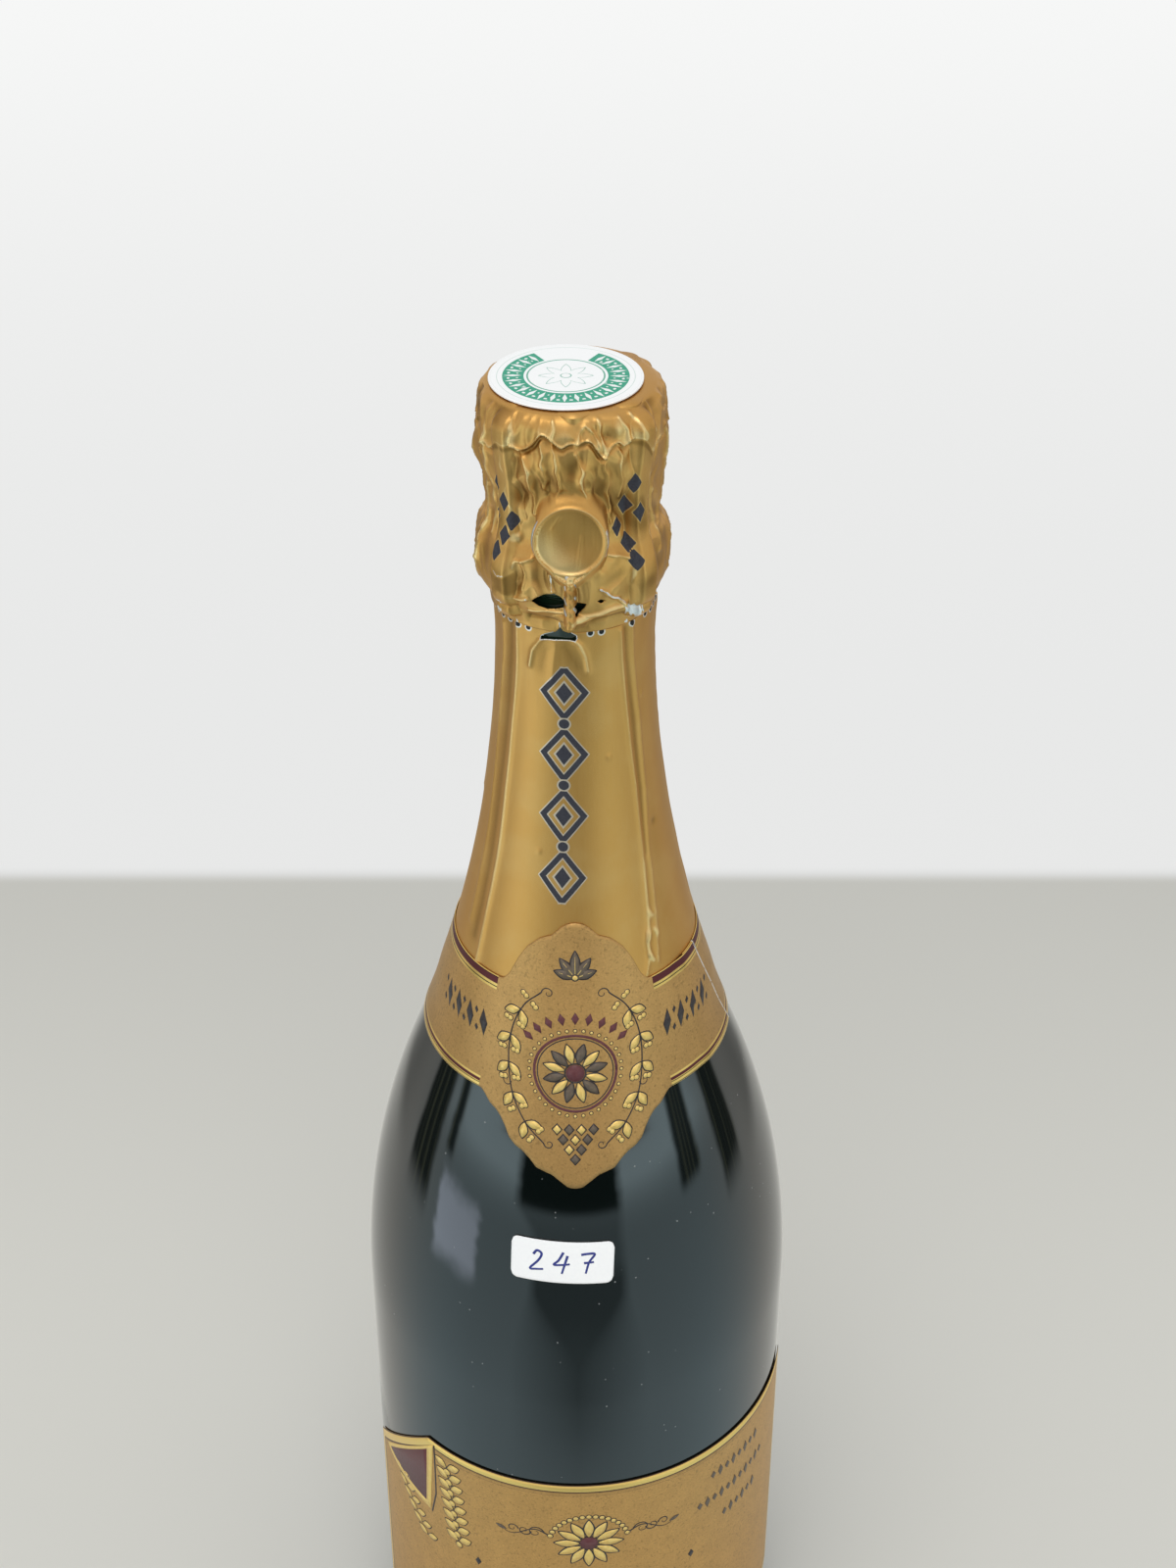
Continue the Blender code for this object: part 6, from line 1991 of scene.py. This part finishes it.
class BOTTLE_OT_stage(bpy.types.Operator):
    """Sets the pale floor, the soft lights and the camera"""

    bl_idname = "bottle.stage"
    bl_label = "Stage"

    def execute(self, context):
        settings = context.scene.bottle_stage
        context.scene.view_settings.view_transform = "Standard"
        self.floor(settings)
        self.room(settings)
        self.world(context.scene, settings)
        key = self.lamp("key", KEY_SIZE, settings.key_power, KEY_PLACE)
        key.data.shape = "DISK"
        key.rotation_euler = Vector(KEY_AIM).to_track_quat("-Z", "Y").to_euler()
        fill = self.lamp("fill", FILL_SIZE, settings.fill_power, FILL_PLACE)
        fill.rotation_euler = (FILL_TILT, 0, 0)
        fill.visible_glossy = False
        optics = bpy.data.cameras.new("photo_camera")
        optics.lens = settings.lens
        optics.clip_start = 0.01
        camera = in_scene("photo_camera", optics, settings.camera_place)
        camera.rotation_euler = (settings.camera_tilt, 0, 0)
        context.scene.camera = camera
        return {"FINISHED"}

    def lamp(self, name, size, power, place):
        """A soft lamp."""
        light = bpy.data.lights.new(name, "AREA")
        light.size = size
        light.energy = power
        return in_scene(name, light, place)

    def card(self, name, bm, paint):
        """A flat object of the stage."""
        made = in_scene(name, as_mesh(bm, name, flat=True))
        made.data.materials.append(paint.material)
        return made

    def floor(self, settings):
        """A pale floor that meets a paler, glowing backdrop on a soft line, with painted shade on
        both.
        """
        bm = bmesh.new()
        bmesh.ops.create_grid(bm, x_segments=8, y_segments=8, size=FLOOR_HALF)
        paint = Paint("pale floor", Roughness=0.65, Specular_IOR_Level=0.2)
        depth = paint.parts(paint.place())[1]
        # Painted shade: the floor darkens towards the backdrop's line, and the backdrop is darker
        # at its foot.
        near = (paint.ease(depth, 0.32, 0.05), settings.floor_colour)
        cloud = (paint.noise(3) * 0.25, tinted(settings.floor_colour, 1.06))
        tone = paint.coats(tinted(settings.floor_colour, 0.87), near, cloud)
        walls = [tinted(settings.wall_colour, factor) for factor in (0.92, 1.06)]
        wall = paint.mix(paint.ease(depth, 0.29, 1.5), *walls)
        far = paint.ease(depth, 0.2895, 0.3005)
        paint.set(Base_Color=paint.mix(far, tone, wall))
        paint.shine(wall, paint.shown() * far)
        floor = self.card("floor", bm, paint)
        floor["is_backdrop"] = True

    def room(self, settings):
        """A card on the floor that glows for reflections only: painted reflections of a window,
        dark patches and a dark band in front.
        """
        bm = bmesh.new()
        for radius in ROOM_RADII:
            bmesh.ops.create_circle(bm, cap_ends=False, segments=96, radius=radius)
        bmesh.ops.bridge_loops(bm, edges=bm.edges)
        bmesh.ops.translate(bm, verts=bm.verts, vec=(0, 0, 0.001))
        paint = Paint("room")
        azimuth, distance, _ = paint.unrolled()
        distance = distance * MM
        side = abs(azimuth)

        def out(start, end):
            """Eased by the distance from the bottle in metres."""
            return paint.ease(distance, start, end)

        wobble = (paint.noise(5) - 0.5) * 3
        ragged = paint.noise(17, 3) - 0.5
        # Painted reflections: a dark band in front of the bottle, then dark patches at the sides.
        far = out(0.55, 0.80)
        near = out(0.34, 0.16)
        edge = abs(azimuth - 1.0 + wobble + far * 5) + near * 6 - far * 5
        limits = {0: edge, 1: 25 + near * 14, 2: 20 - near * 16}
        shade = paint.node("ShaderNodeMapRange", inputs=limits)
        hidden = out(0.36, 0.46) * out(0.86, 0.72)
        strength = 0.64 + 0.08 * out(0.20, 0.30) + 0.28 * out(0.72, 0.86) - 0.27 * hidden
        shade = shade * strength * out(0.10, 0.16)
        for spot, half, start in REFLECTED_DARK_PATCHES:
            dark = paint.ease(abs(azimuth - spot + wobble), half + 2, half - 2)
            shade = shade | dark * out(start, start + 0.12) * 0.95
        # A painted reflection of a window.
        window = abs(azimuth - WINDOW_AZIMUTH + wobble * 2 + ragged * 7)
        window = paint.ease(window, 14.5, 11.0)
        window = window * paint.ease(distance + ragged * 0.04, 0.28, 0.33)
        window = window * paint.ease(distance + ragged * 0.12, 0.62, 0.47)
        stripes = paint.noise(0.42, 2.0, paint.node("ShaderNodeCombineXYZ", inputs={0: azimuth}))
        stripes = paint.ease(stripes, 0.50, 0.60) * paint.ease(side, 40, 50)
        coats = (
            (out(0.5, 1.35), tinted(settings.room_colour, 2.3)),
            (paint.ease(side, 60, 115), settings.floor_colour),
            (paint.ease(side, 104, 130) * out(0.29, 0.37), tinted(settings.floor_colour, 0.50)),
            (shade, paint.mix(stripes, (0.010, 0.012, 0.010), (0.20, 0.21, 0.12))),
            (window * 0.95, (1.85, 2.1, 2.45)),
        )
        paint.shine(paint.coats(settings.room_colour, *coats))
        room = self.card("room", bm, paint)
        room.visible_camera = False
        room.visible_diffuse = False
        room.visible_shadow = False
        room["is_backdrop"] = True

    def world(self, scene, settings):
        """Soft even light, a little brighter from above, that meets the backdrop on the horizon."""
        scene.world = bpy.data.worlds.new("soft_room")
        scene.world.use_nodes = True
        sky = Nodes(scene.world.node_tree)
        rise = sky.parts(sky.node("ShaderNodeTexCoord"))[2]
        above = sky.node("ShaderNodeMapRange", inputs={0: rise, 1: -0.2, 2: 0.9})
        horizon = tinted(settings.wall_colour, 1.06 / settings.light_level)
        low = sky.shown() * sky.ease(rise, 0.32, 0.0)
        background = sky.tree.nodes["Background"].inputs
        glow = sky.coats((0.86, 0.88, 0.90), (above, (1, 1, 1)), (low, horizon))
        sky.feed(background["Color"], glow)
        sky.feed(background["Strength"], settings.light_level)


GROUPS = {
    "bottle_glass": GlassSettings,
    "bottle_closure": ClosureSettings,
    "bottle_foil": FoilSettings,
    "bottle_paper": PaperSettings,
    "bottle_stage": StageSettings,
}
OPERATORS = (
    BOTTLE_OT_glass,
    BOTTLE_OT_cork,
    BOTTLE_OT_cage,
    BOTTLE_OT_hood,
    BOTTLE_OT_sleeve,
    BOTTLE_OT_collar,
    BOTTLE_OT_label,
    BOTTLE_OT_sticker,
    BOTTLE_OT_top_disc,
    BOTTLE_OT_stage,
)


class BOTTLE_PT_pieces(bpy.types.Panel):
    """The bottle's settings and the pieces they make"""

    bl_label = "Sparkling wine bottle"
    bl_idname = "BOTTLE_PT_pieces"
    bl_space_type = "VIEW_3D"
    bl_region_type = "UI"
    bl_category = "Bottle"

    def draw(self, context):
        for name, group in GROUPS.items():
            box = self.layout.box()
            settings = getattr(context.scene, name)
            for setting in group.__annotations__:
                box.prop(settings, setting)
        for operator in OPERATORS:
            self.layout.operator(operator.bl_idname)


def register():
    """Registers the settings, the operators and the panel."""
    for name, group in GROUPS.items():
        bpy.utils.register_class(group)
        setattr(bpy.types.Scene, name, bpy.props.PointerProperty(type=group))
    for operator in OPERATORS:
        bpy.utils.register_class(operator)
    bpy.utils.register_class(BOTTLE_PT_pieces)


def unregister():
    """Takes them out again."""
    bpy.utils.unregister_class(BOTTLE_PT_pieces)
    for operator in reversed(OPERATORS):
        bpy.utils.unregister_class(operator)
    for name, group in GROUPS.items():
        delattr(bpy.types.Scene, name)
        bpy.utils.unregister_class(group)


def corners():
    """The shown object's lowest and highest corners as plain lists."""
    return [list(corner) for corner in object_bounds()]


def main():
    """Builds every piece round the frame, then the stage."""
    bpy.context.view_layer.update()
    register()
    for operator in OPERATORS:
        module, name = operator.bl_idname.split(".")
        getattr(getattr(bpy.ops, module), name)()


if __name__ == "__main__":
    main()
